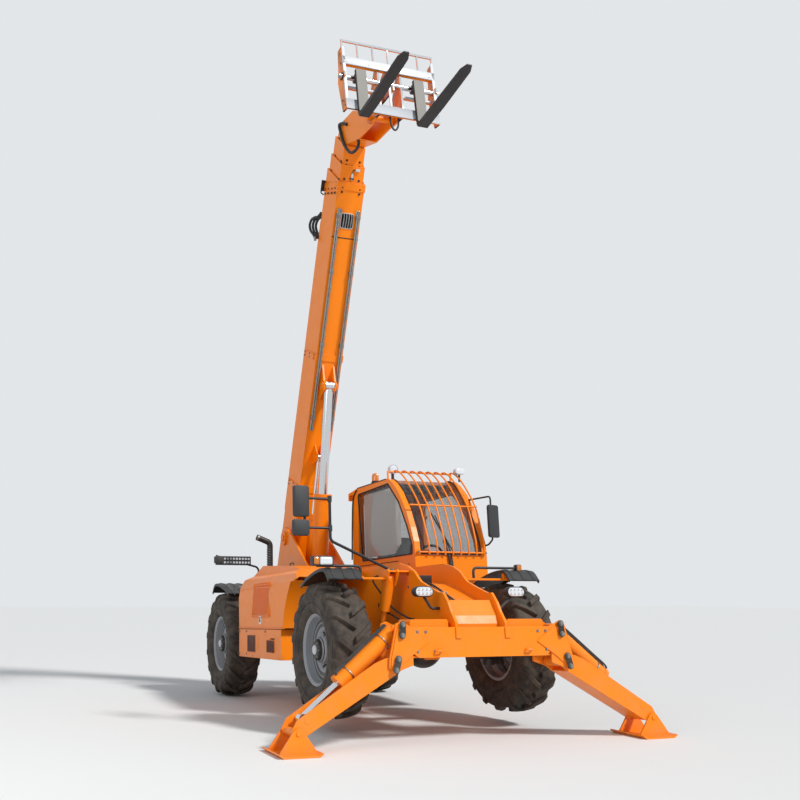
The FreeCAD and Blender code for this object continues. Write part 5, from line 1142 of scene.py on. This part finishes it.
class TELEHANDLER_OT_bonnet(bpy.types.Operator):
    """Gives the bonnet its pressed panel, latch and creases, and the lower box its vents"""
    bl_idname = "telehandler.bonnet"
    bl_label = "Bonnet and engine box"

    def execute(self, context):
        shape = Shape("bonnet_fittings")
        x = BONNET_SIDE
        # The pressed panel: two frames with a step between them, and a sunk field that looks darker
        for grow, out, radius in ((20, 0.6, 30), (0, 1.6, 24)):
            line = rounded_outline(-267 - grow, 310 + grow, 965 - grow, 1301 + grow, radius, 6)
            shape.sweep([(x + self.lean(z) - out, y, z) for y, z in line], 6, "orange", 8, closed=True)
        field = [[(x + self.lean(z) - 0.9, y, z) for y in (-258, 300)] for z in (974, 1180, 1294)]
        shape.skin(field, "orange_shade")
        # The latch
        shape.prism(rounded_outline(-8, 72, 868, 958, 10), "x", x - 3, x + 8, "chrome", 2)
        shape.rod((x - 3, 37, 902), (x - 7, 37, 902), 13, "plastic", 20, 1)
        shape.block(x - 7, x - 3, 32, 42, 915, 940, "plastic", 1)
        # The edge along the wheel arch, its lip that turns inwards, and the crease below the top
        arch = []
        for k in range(17):
            a = math.radians(12 + 34 * k / 16)
            arch.append((x + 2, -AXLE_Y + WHEEL_ARCH * math.cos(a), TYRE_RADIUS + WHEEL_ARCH * math.sin(a)))
        arch = [p for p in arch if 822 < p[2] < 1330]
        shape.sweep(arch, 7, "orange", 8)
        shape.skin([[(px, y, z) for px in (x + 4, x + 110, x + 230)] for _, y, z in arch], "orange", 3)
        crease = [(x + 17, 845, 1268), (x + 16, 300, 1272), (x + 16, -300, 1262), (x + 18, -700, 1232)]
        shape.sweep(crease, 5, "orange", 8)
        shape.sweep([(x + 1, 845, 832), (x + 1, 300, 832), (x + 1, -690, 832)], 6, "orange", 8)
        # A black strip of painted shade in the gap over the lower box
        shape.block(x + 10, x + 24, -690, 845, 813, 817.6, "shadow", 1)
        # Grab handle on the rear corner of the hump
        handle = [(-560, 600, 1538), (-560, 600, 1578), (-560, 480, 1578), (-560, 480, 1545)]
        shape.sweep(rounded_line(handle, 20, 5), 7, "plastic", 12)
        shape.done("bonnet", slot="orange_paint")
        self.lower_box()
        return {"FINISHED"}

    def lean(self, z):
        """How far the bonnet's side stands in from its widest line at a height."""
        return 0 if z < 1180 else (z - 1180) * 0.2

    def lower_box(self):
        shape = Shape("engine_box_vents")
        x = ENGINE_BOX_SIDE
        for y0, y1, z0, z1 in ((223, 522, 563, 746), (-436, -170, 570, 700)):
            shape.prism(rounded_outline(y0, y1, z0, z1, 14, 5), "x", x - 1.5, x + 12, "mesh_red", 0)
            line = rounded_outline(y0 - 3, y1 + 3, z0 - 3, z1 + 3, 16, 5)
            shape.sweep([(x - 1, y, z) for y, z in line], 4.5, "orange", 8, closed=True)
            slat = Shape("slat")
            slat.prism([(0, y0 + 8), (0, y1 - 8), (7, y1 - 8), (7, y0 + 8)], "z", 0, 3, "mesh_red", 0)
            slat.mesh.transform(Matrix.Translation((x - 5, 0, z0 + 10)))
            count = int((z1 - z0 - 16) / 13)
            shape.grown(loose_mesh(slat), row_tree(FINISH["mesh_red"]),
                        {"Count": count, "Step": (0.0, 0.0, 13.0)}, "mesh_red")
        # Flush plates close what is left of the box's openings beside the vents
        for y0, y1 in ((100, 219), (-535, -440)):
            shape.block(x - 1, x + 12, y0, y1, 600, 730, "orange", 0.5)
        shape.prism(rounded_outline(-600, 845, 505, 520, 4, 3), "x", x - 4, x + 4, "orange", 2)
        places = [(x - 0.5, y, z) for y in (560, 830) for z in (540, 790)] + [(x - 0.5, -130, 790)]
        bolts(shape, places, (-1, 0, 0))
        shape.done("root", slot="orange_paint")


def window_seal(shape, outline, x):
    """A black rubber moulding along the edge of a pane that lies across X."""
    line = rounded_line([(x, y, z) for y, z in outline] + [(x, *outline[0])], 34, 4)[1:-1]
    shape.sweep(line, 9, "rubber", 8, closed=True)


# The cab's panes and the line of its front, seen from the side as (y, z)
SIDE_WINDOW = ((430, 1700), (395, 2415), (-440, 2435), (-700, 2195), (-880, 1910), (-985, 1690),
               (-985, 1600), (300, 1600))
DOOR_WINDOW = ((310, 1250), (310, 2350), (-400, 2350), (-590, 2190), (-740, 1990), (-840, 1780),
               (-890, 1560), (-890, 1420), (-760, 1250))
CAB_FRONT_LINE = ((-1045, 1600), (-1045, 1640), (-1030, 1730), (-965, 1890), (-860, 2100), (-700, 2310),
                  (-560, 2430), (-470, 2482), (-400, 2499))


class TELEHANDLER_OT_cab(bpy.types.Operator):
    """Adds the cab's seals, wipers, handles, blind and inside fittings"""
    bl_idname = "telehandler.cab"
    bl_label = "Cab fittings"

    def execute(self, context):
        shape = Shape("cab_fittings")
        window_seal(shape, SIDE_WINDOW, 269)
        rear = rounded_outline(345, 1075, 1650, 2330, 40, 5)
        shape.sweep([(px, 600, pz) for px, pz in rear], 9, "rubber", 8, closed=True)
        # The windscreen's moulding down both sides and across its foot
        line = smooth_line([(0, y, z) for y, z in CAB_FRONT_LINE], 4)
        for px in (345, 1075):
            shape.sweep([(px, p.y + 1, p.z) for p in line], 8, "rubber", 8)
        shape.sweep([(345, -1045, 1600), (1075, -1045, 1600)], 8, "rubber", 8)
        # Wiper with its two arms side by side
        for dx in (-18, 18):
            arm = [(695 + dx, -1062, 1490), (676 + dx, -1056, 1620), (640 + dx, -1034, 1752)]
            shape.sweep(smooth_line(arm, 5), 8, "plastic", 8)
        blade = [(690, -1064, 1500), (650, -1046, 1700), (628, -968, 1900), (608, -900, 2030)]
        shape.sweep(smooth_line(blade, 5), 7, "plastic", 8)
        shape.rod((695, -1044, 1483), (695, -1072, 1483), 22, "plastic", 20, 4)
        # The tube on the rear corner post
        tube = [(264, 430, 2478), (262, 537, 2369), (262, 582, 2050), (262, 612, 1633)]
        shape.sweep(smooth_line(tube, 6), 9, "hose", 12)
        # The roof's gutters, and the joint and bolts on the side wall; the joint is a black strip of painted shade
        for px in (268, 1152):
            shape.sweep([(px, 420, 2497), (px, -395, 2497)], 6, "black_enamel", 8)
        shape.block(268, 270.5, -640, 596, 1538, 1546, "shadow", 0.5)
        for z, along in ((1500, (-900, -500, 0, 500)), (860, (-300, 0, 300, 560))):
            bolts(shape, [(269.5, y, z) for y in along], (-1, 0, 0), "zinc", 0.8)
        shape.done("root", slot="black_plastic")
        self.door()
        self.blind()
        self.inside()
        return {"FINISHED"}

    def door(self):
        shape = Shape("door_fittings")
        window_seal(shape, DOOR_WINDOW, 1151)
        shape.block(1150, 1162, -790, -660, 1150, 1200, "plastic", 4)
        pull = [(1154, -780, 1175), (1184, -780, 1175), (1184, -670, 1175), (1154, -670, 1175)]
        shape.sweep(rounded_line(pull, 14, 4), 7, "plastic", 10)
        rail = [(1150, 340, 1350), (1180, 340, 1350), (1180, 340, 1750), (1150, 340, 1750)]
        shape.sweep(rounded_line(rail, 22, 5), 10, "black_enamel", 12)
        shape.done("door", slot="black_plastic")

    def blind(self):
        """Pleated sun blind behind the rear part of the side window, cut to the window's slant in front."""
        pleats, steps = 18, 6
        shape = Shape("side_window_blind")
        rows = []
        for k in range(pleats * steps + 1):
            y = -560 + 900 * k / (pleats * steps)
            x = 334 + 22 * math.cos(math.pi * k / 3)
            foot = 1640 + 60 * max(0, (-400 - y)) / 100
            top = 2395 if y > -430 else 2395 + (y + 430) * 0.8
            rows.append([(x, y, foot), (x, y, 1900), (x, y, top)])
        shape.skin(rows, "blind", 1.5)
        shape.done("root", slot="seat_fabric")

    def inside(self):
        shape = Shape("cab_inside")
        # Roof lining and floor mat
        shape.block(320, 1100, -340, 400, 2440, 2452, "lining", 4)
        shape.block(330, 1090, -560, 540, 844.5, 850, "rubber", 2)
        # The orange posts in the rear corners
        for x in (330, 1036):
            shape.block(x, x + 54, 490, 548, 850, 2430, "orange", 5)
        # Console on the side of the boom with its levers
        shape.prism([(-260, 860), (330, 860), (330, 1290), (-180, 1380), (-260, 1330)], "x", 330, 450, "plastic", 12)
        for py, pz in ((-190, 1380), (-110, 1370), (-30, 1360)):
            shape.rod((390, py, pz - 20), (390, py - 14, pz + 120), 7, "black_enamel", 12)
            shape.rod((390, py - 14, pz + 112), (390, py - 18, pz + 160), 16, "plastic", 16, 6)
        # The dashboard's hood
        shape.prism([(-760, 1500), (-640, 1560), (-600, 1545), (-640, 1500)], "x", 600, 820, "plastic", 6)
        shape.done("root", slot="black_plastic")
        # The seat's base with its bellows, and the shell behind its back
        seat = Shape("seat_frame")
        seat.block(530, 890, -120, 290, 845, 1146, "plastic", 18)
        for k in range(6):
            z = 880 + 40 * k
            seat.block(522, 898, -128, 298, z, z + 22, "rubber", 7)
        seat.block(530, 890, 262, 292, 1150, 1820, "plastic", 12)
        seat.done("root", slot="seat_fabric")
        self.cushion("seat_cushion", (460, 960, -220, 290, 1150, 1270), 0.0)
        self.cushion("seat_back", (470, 950, 198, 300, 1275, 1900), 9.0)

    def cushion(self, name, size, lean):
        """A crowned pad with bolsters and two sewn channels, subdivided and smoothed."""
        x0, x1, y0, y1, z0, z1 = size
        upright = z1 - z0 > y1 - y0
        slope = math.tan(math.radians(lean))
        last = 8
        part = bmesh.new()
        front = []
        back = []
        for i in range(last + 1):
            u = i / last
            front.append([])
            back.append([])
            for j in range(last + 1):
                v = j / last
                crown = (1 - (2 * u - 1) ** 4) * (1 - (2 * v - 1) ** 4)
                seam = 0.12 if i in (2, 6) else 0.0
                bolster = 0.16 if i in (1, 7) else 0.0
                thick = min(1.0, 0.34 + 0.66 * crown - seam + bolster)
                # The sides pull in between the corners
                pull = 0.03 * math.cos(math.pi * (2 * v - 1))
                x = x0 + (x1 - x0) * (u + (pull if u == 0 else -pull if u == 1 else 0))
                if upright:
                    z = z0 + (z1 - z0) * v
                    tilt = slope * (z - z0)
                    y_back = y1 - (0.02 + 0.05 * (1 - crown)) * (y1 - y0)
                    pair = ((x, y1 - (y1 - y0) * thick + tilt, z), (x, y_back + tilt, z))
                else:
                    y = y0 + (y1 - y0) * v
                    pair = ((x, y, z0 + (z1 - z0) * thick), (x, y, z0 + 2))
                front[i].append(part.verts.new(pair[0]))
                back[i].append(part.verts.new(pair[1]))
        for i in range(last):
            for j in range(last):
                part.faces.new((front[i][j], front[i + 1][j], front[i + 1][j + 1], front[i][j + 1]))
                part.faces.new((back[i][j], back[i][j + 1], back[i + 1][j + 1], back[i + 1][j]))
        rim_f, rim_b = ([row[0] for row in grid] + grid[-1][1:] + [row[-1] for row in grid[-2::-1]] + grid[0][-2:0:-1]
                        for grid in (front, back))
        for k in range(len(rim_f)):
            m = (k + 1) % len(rim_f)
            part.faces.new((rim_f[k], rim_b[k], rim_b[m], rim_f[m]))
        bmesh.ops.subdivide_edges(part, edges=part.edges[:], cuts=1, use_grid_fill=True)
        for _ in range(2):
            bmesh.ops.smooth_vert(part, verts=part.verts, factor=0.4, use_axis_x=True, use_axis_y=True,
                                  use_axis_z=True)
        shape = Shape(name)
        shape.take(part, "fabric")
        replaced = ("driver_seat",) if name == "seat_cushion" else ()
        obj = shape.done("root", *replaced, smooth=60, slot="seat_fabric")


# The stabiliser beam's front face
BEAM_FRONT = -2787


class TELEHANDLER_OT_frame(bpy.types.Operator):
    """Adds keeper plates, bolts and hoses to the stabilisers, the frame and the axles"""
    bl_idname = "telehandler.frame"
    bl_label = "Frame fittings"

    def execute(self, context):
        shape = Shape("frame_fittings")
        for side in (-1, 1):
            for px, pz, lean in ((LEG_PIN_X, LEG_PIN_Z, 0.27), (RAM_PIN_X, RAM_PIN_Z, 0.08)):
                self.keeper(shape, side, px, pz, lean)
            for y in (-2640, -2520):
                shape.rod((side * LEG_PIN_X, y, LEG_PIN_Z), (side * LEG_PIN_X, y - 4, LEG_PIN_Z), 30,
                          "black_enamel", 20, 1)
            heads = ((640, 800), (560, 800), (640, 640), (480, 640))
            bolts(shape, [(side * px, BEAM_FRONT + 10.4, pz) for px, pz in heads], (0, -1, 0))
            # Tie-down eye on the beam
            eye = [(side * px, y, 640) for px, y in ((420, -2776), (420, -2812), (480, -2812), (480, -2776))]
            shape.sweep(rounded_line(eye, 20, 5), 9, "orange", 12)
            heads = ((-2560, 700), (-2440, 740), (-2560, 860), (-1900, 1210), (-1900, 1330), (1900, 760),
                     (1900, 900), (2050, 760))
            bolts(shape, [(side * 261.5, y, z) for y, z in heads], (side, 0, 0))
        # Two black hoses from the sway cylinder's ports to the rail
        for run in ([(-446, -1796, 1290), (-490, -1700, 1322), (-506, -1625, 1280), (-462, -1706, 1154),
                     (-402, -1814, 1022), (-340, -1975, 932), (-264, -2000, 905)],
                    [(-458, -1706, 1040), (-470, -1664, 1050), (-452, -1680, 1000), (-400, -1800, 950),
                     (-340, -1940, 880), (-264, -1960, 872)]):
            shape.sweep(smooth_line(run, 7), 9, "hose", 12)
        # Hoses along the channel between the rails
        for k in range(3):
            x = -120 + 44 * k
            run = [(x, -2520, 1012), (x, -2360, 1075), (x + 8, -2180, 1140), (x, -1950, 1232), (x, -1750, 1262),
                   (x, -1300, 1292), (x, -930, 1322)]
            shape.sweep(smooth_line(run, 6), 10, "hose", 12)
        for y, z in ((-2180, 1136), (-1750, 1254), (-1300, 1284)):
            shape.block(-150, -10, y - 12, y + 12, z - 14, z + 22, "zinc", 2)
        shape.block(-200, 60, -1780, -1560, 1248, 1330, "black_enamel", 5)
        shape.done("root", slot="black_plastic")
        self.stabiliser_hoses()
        self.steps()
        self.exhaust()
        return {"FINISHED"}

    def keeper(self, shape, side, px, pz, lean):
        """A black plate with two bolts that locks a pin; it stands nearly upright."""
        y = BEAM_FRONT
        place = Matrix.Translation((side * px, 0, pz)) @ Matrix.Rotation(-math.atan2(1, -side * lean), 4, "Y")
        outline = []
        for cx, start in ((46, -90), (-46, 90)):
            for k in range(9):
                a = math.radians(start + 180 * k / 8)
                outline.append((cx + 29 * math.cos(a), 29 * math.sin(a)))
        shape.prism(outline, "y", y - 19, y - 10, "black_enamel", 2, place)
        bolts(shape, [place @ Vector((dx, y - 19, 0)) for dx in (-46, 46)], (0, -1, 0), "zinc", 1.7)
        shape.rod((side * px, y - 10, pz), (side * px, y + 12, pz), 24, "zinc", 24)

    def stabiliser_hoses(self):
        for name, side in (("left", 1), ("right", -1)):
            shape = Shape("stabiliser_hoses_" + name)
            start = Vector((side * RAM_PIN_X, LEG_MID_Y, RAM_PIN_Z))
            ahead = self.ram_direction(side)
            across = Vector((0, 1, 0))
            up = across.cross(ahead).normalized()
            if up.z < 0:
                up = -up
            for dy in (-34, 6):
                first = start + ahead * 66 + up * 90 + across * dy
                run = [first - ahead * 20 + up * 10, first, first + ahead * 180, first + ahead * 420,
                       first + ahead * 560, first + ahead * 600 - up * 14]
                shape.sweep(smooth_line(run, 5), 9, "hose", 12)
            # Clamp rings round the barrel
            for along in (150, 560):
                middle = start + ahead * along
                ring = [middle + up * c + across * s for c, s in circle(28, 79)]
                shape.sweep(ring, 5, "zinc", 8, closed=True)
            shape.done("stabiliser_barrel_" + name, slot="black_plastic")

    def ram_direction(self, side):
        """The way a stabiliser's cylinder points, from its pin on the beam to the leg."""
        a = math.radians(LEG_ANGLE)
        x = LEG_PIN_X + RAM_ALONG * math.cos(a) + RAM_ABOVE * math.sin(a)
        z = LEG_PIN_Z - RAM_ALONG * math.sin(a) + RAM_ABOVE * math.cos(a)
        return Vector((side * (x - RAM_PIN_X), 0, z - RAM_PIN_Z)).normalized()

    def steps(self):
        shape = Shape("step_treads")
        # Two sunk steps with serrated treads in the box below the door, with a black sheet of painted shade behind
        # each
        for z in (575, 672):
            shape.prism(rounded_outline(-480, 480, z, z + 78, 16), "x", 1129, 1131.5, "shadow", 0)
            shape.block(1110, 1142, -470, 470, z - 2, z + 8, "black_enamel", 2)
            for k in range(23):
                y = -440 + 40 * k
                shape.block(1112, 1140, y - 5, y + 5, z + 7, z + 12, "black_enamel", 1)
        shape.done("root", slot="black_paint")

    def exhaust(self):
        shape = Shape("exhaust_fittings")
        y = 955
        # The tailpipe's mouth, along its end, with a black disc of painted shade inside
        ahead = Vector((-170, 0, 65)).normalized()
        mouth = Vector((-865, y, 1915))
        shape.sweep([mouth - ahead * 22, mouth - ahead * 2, mouth + ahead * 1.5], [37.5, 37.5, 36], "steel", 28)
        shape.sweep([mouth + ahead * 1.2, mouth + ahead * 2.2], 31, "shadow", 28)
        # Clamp rings round the silencer
        for x in (-330, -660):
            ring = [(x, y + c, 1362 + s) for c, s in circle(36, 86)]
            shape.sweep(ring, 6, "steel", 8, closed=True)
        # The heat shield's ribs round the upright pipe
        turns = [math.radians(100 + 16 * n) for n in range(11)]
        for k in range(10):
            rib = [(-695 + 41 * math.cos(a), y + 41 * math.sin(a), 1500 + 30 * k) for a in turns]
            shape.sweep(rib, 4, "steel", 6)
        shape.done("root", slot="black_paint")


def placed(name, data):
    """An object of some data in the scene's collection."""
    obj = bpy.data.objects.new(name, data)
    bpy.context.scene.collection.objects.link(obj)
    return obj


def pale_floor(half):
    """A matt pale floor that reaches far past the picture, so that it shows plain."""
    material, tree, shader, place = new_material("studio_floor_pale")
    sockets(shader, {"Base Color": linear("#E6E5E2"), "Roughness": 0.9})
    mesh = bpy.data.meshes.new("floor")
    mesh.from_pydata([(-half, -half, 0), (half, -half, 0), (half, half, 0), (-half, half, 0)], [], [(0, 1, 2, 3)])
    mesh.materials.append(material)
    return placed("floor", mesh)


def soft_light(name, place, target, size, power):
    """A round area light that points from its place to a target."""
    lamp = bpy.data.lights.new(name, "AREA")
    lamp.shape = "DISK"
    lamp.size = size
    lamp.energy = power
    obj = placed(name, lamp)
    obj.location = place
    obj.rotation_euler = (Vector(target) - Vector(place)).to_track_quat("-Z", "Y").to_euler()


def sun_light(name, place, angle, strength):
    """A wide sun, so that the floor is evenly lit and the shadow's edge is soft."""
    lamp = bpy.data.lights.new(name, "SUN")
    lamp.angle = math.radians(angle)
    lamp.energy = strength
    obj = placed(name, lamp)
    obj.location = place
    obj.rotation_euler = Vector(place).to_track_quat("Z", "Y").to_euler()


class TELEHANDLER_OT_stage(bpy.types.Operator):
    """Sets the floor, the lights, the world and the camera"""
    bl_idname = "telehandler.stage"
    bl_label = "Stage"

    def execute(self, context):
        scene = context.scene
        scene.view_settings.view_transform = "Standard"
        floor = pale_floor(60.0)
        self.world(scene)
        sun_light("key_light", (5.5, -9.0, 9.5), 8.0, 2.9)
        soft_light("fill_light", (-9.0, -6.0, 6.0), (0, 0, 2.5), 6.0, 260)
        self.camera(scene)
        return {"FINISHED"}

    def world(self, scene):
        """A bright sky that the camera, gloss and glass see, and a dimmer one that lights the machine."""
        world = bpy.data.worlds.new("studio")
        scene.world = world
        world.use_nodes = True
        tree = world.node_tree
        tree.nodes.clear()
        path = add(tree, "ShaderNodeLightPath").outputs
        seen = path["Is Camera Ray"]
        for ray in ("Is Glossy Ray", "Is Transmission Ray"):
            seen = add(tree, "ShaderNodeMath", {"operation": "MAXIMUM"}, links=((0, seen), (1, path[ray]))).outputs[0]
        sky = add(tree, "ShaderNodeBackground", inputs={"Color": linear("#EEF1F4"), "Strength": 0.9})
        light = add(tree, "ShaderNodeBackground", inputs={"Color": linear("#DCE6F2"), "Strength": 0.42})
        both = add(tree, "ShaderNodeMixShader", links=((0, seen), (1, light.outputs[0]), (2, sky.outputs[0])))
        add(tree, "ShaderNodeOutputWorld", links=((0, both.outputs[0]),))

    def camera(self, scene):
        """The camera that took the picture, in the machine's frame."""
        data = bpy.data.cameras.new("photo_camera")
        data.sensor_width = 36.0
        data.lens = 42.33
        data.shift_x = 0.1614
        data.clip_end = 200.0
        obj = placed("photo_camera", data)
        right = Vector((0.946319, -0.323194, 0.005114))
        up = Vector((-0.068416, -0.184812, 0.980390))
        forward = Vector((0.315911, 0.928111, 0.197002))
        position = Vector((-4.501547, -10.191424 + rear_axle_y() - AXLE_Y / 1000, 1.310256))
        turn = Matrix((right, up, -forward)).transposed().to_4x4()
        obj.matrix_world = Matrix.Translation(position) @ turn
        scene.camera = obj


class TELEHANDLER_PG_looks(bpy.types.PropertyGroup):
    """Sizes and colours that a user may change before running the steps"""
    paint: bpy.props.FloatVectorProperty(
        name="Paint", description="Colour of the enamel on frame, boom and cab", subtype="COLOR", size=4,
        default=linear("#FF8A00"), min=0.0, max=1.0)
    guard_bar: bpy.props.FloatProperty(
        name="Guard bar", description="Diameter of the bars in front of the windscreen", default=0.019, min=0.01,
        max=0.03, unit="LENGTH")
    hose: bpy.props.FloatProperty(
        name="Hose", description="Outside diameter of the boom's hydraulic hoses", default=0.034, min=0.01,
        max=0.05, unit="LENGTH")
    bolt_head: bpy.props.FloatProperty(
        name="Bolt head", description="Width of the ordinary bolt heads across their corners", default=0.020,
        min=0.01, max=0.04, unit="LENGTH")
    wheel_nuts: bpy.props.IntProperty(
        name="Wheel nuts", description="How many nuts hold each wheel", default=10, min=6, max=16)


def context_looks():
    """The looks that the user has set in the panel."""
    return bpy.context.scene.telehandler_looks


OPERATORS = (TELEHANDLER_OT_finishes, TELEHANDLER_OT_wheels, TELEHANDLER_OT_mudguards, TELEHANDLER_OT_cab_guard,
             TELEHANDLER_OT_lamps, TELEHANDLER_OT_mirrors, TELEHANDLER_OT_carriage, TELEHANDLER_OT_boom,
             TELEHANDLER_OT_bonnet, TELEHANDLER_OT_cab, TELEHANDLER_OT_frame, TELEHANDLER_OT_stage)


class TELEHANDLER_PT_panel(bpy.types.Panel):
    """Lists the steps that dress the machine"""
    bl_idname = "TELEHANDLER_PT_panel"
    bl_label = "Telehandler"
    bl_space_type = "VIEW_3D"
    bl_region_type = "UI"
    bl_category = "Telehandler"

    def draw(self, context):
        looks = context.scene.telehandler_looks
        for name in TELEHANDLER_PG_looks.__annotations__:
            self.layout.prop(looks, name)
        for operator in OPERATORS:
            self.layout.operator(operator.bl_idname)


CLASSES = (TELEHANDLER_PG_looks,) + OPERATORS + (TELEHANDLER_PT_panel,)


def register():
    for cls in CLASSES:
        bpy.utils.register_class(cls)
    bpy.types.Scene.telehandler_looks = bpy.props.PointerProperty(type=TELEHANDLER_PG_looks)


def unregister():
    del bpy.types.Scene.telehandler_looks
    for cls in reversed(CLASSES):
        bpy.utils.unregister_class(cls)


def main():
    register()
    for operator in OPERATORS:
        family, name = operator.bl_idname.split(".")
        getattr(getattr(bpy.ops, family), name)()


if __name__ == "__main__":
    main()
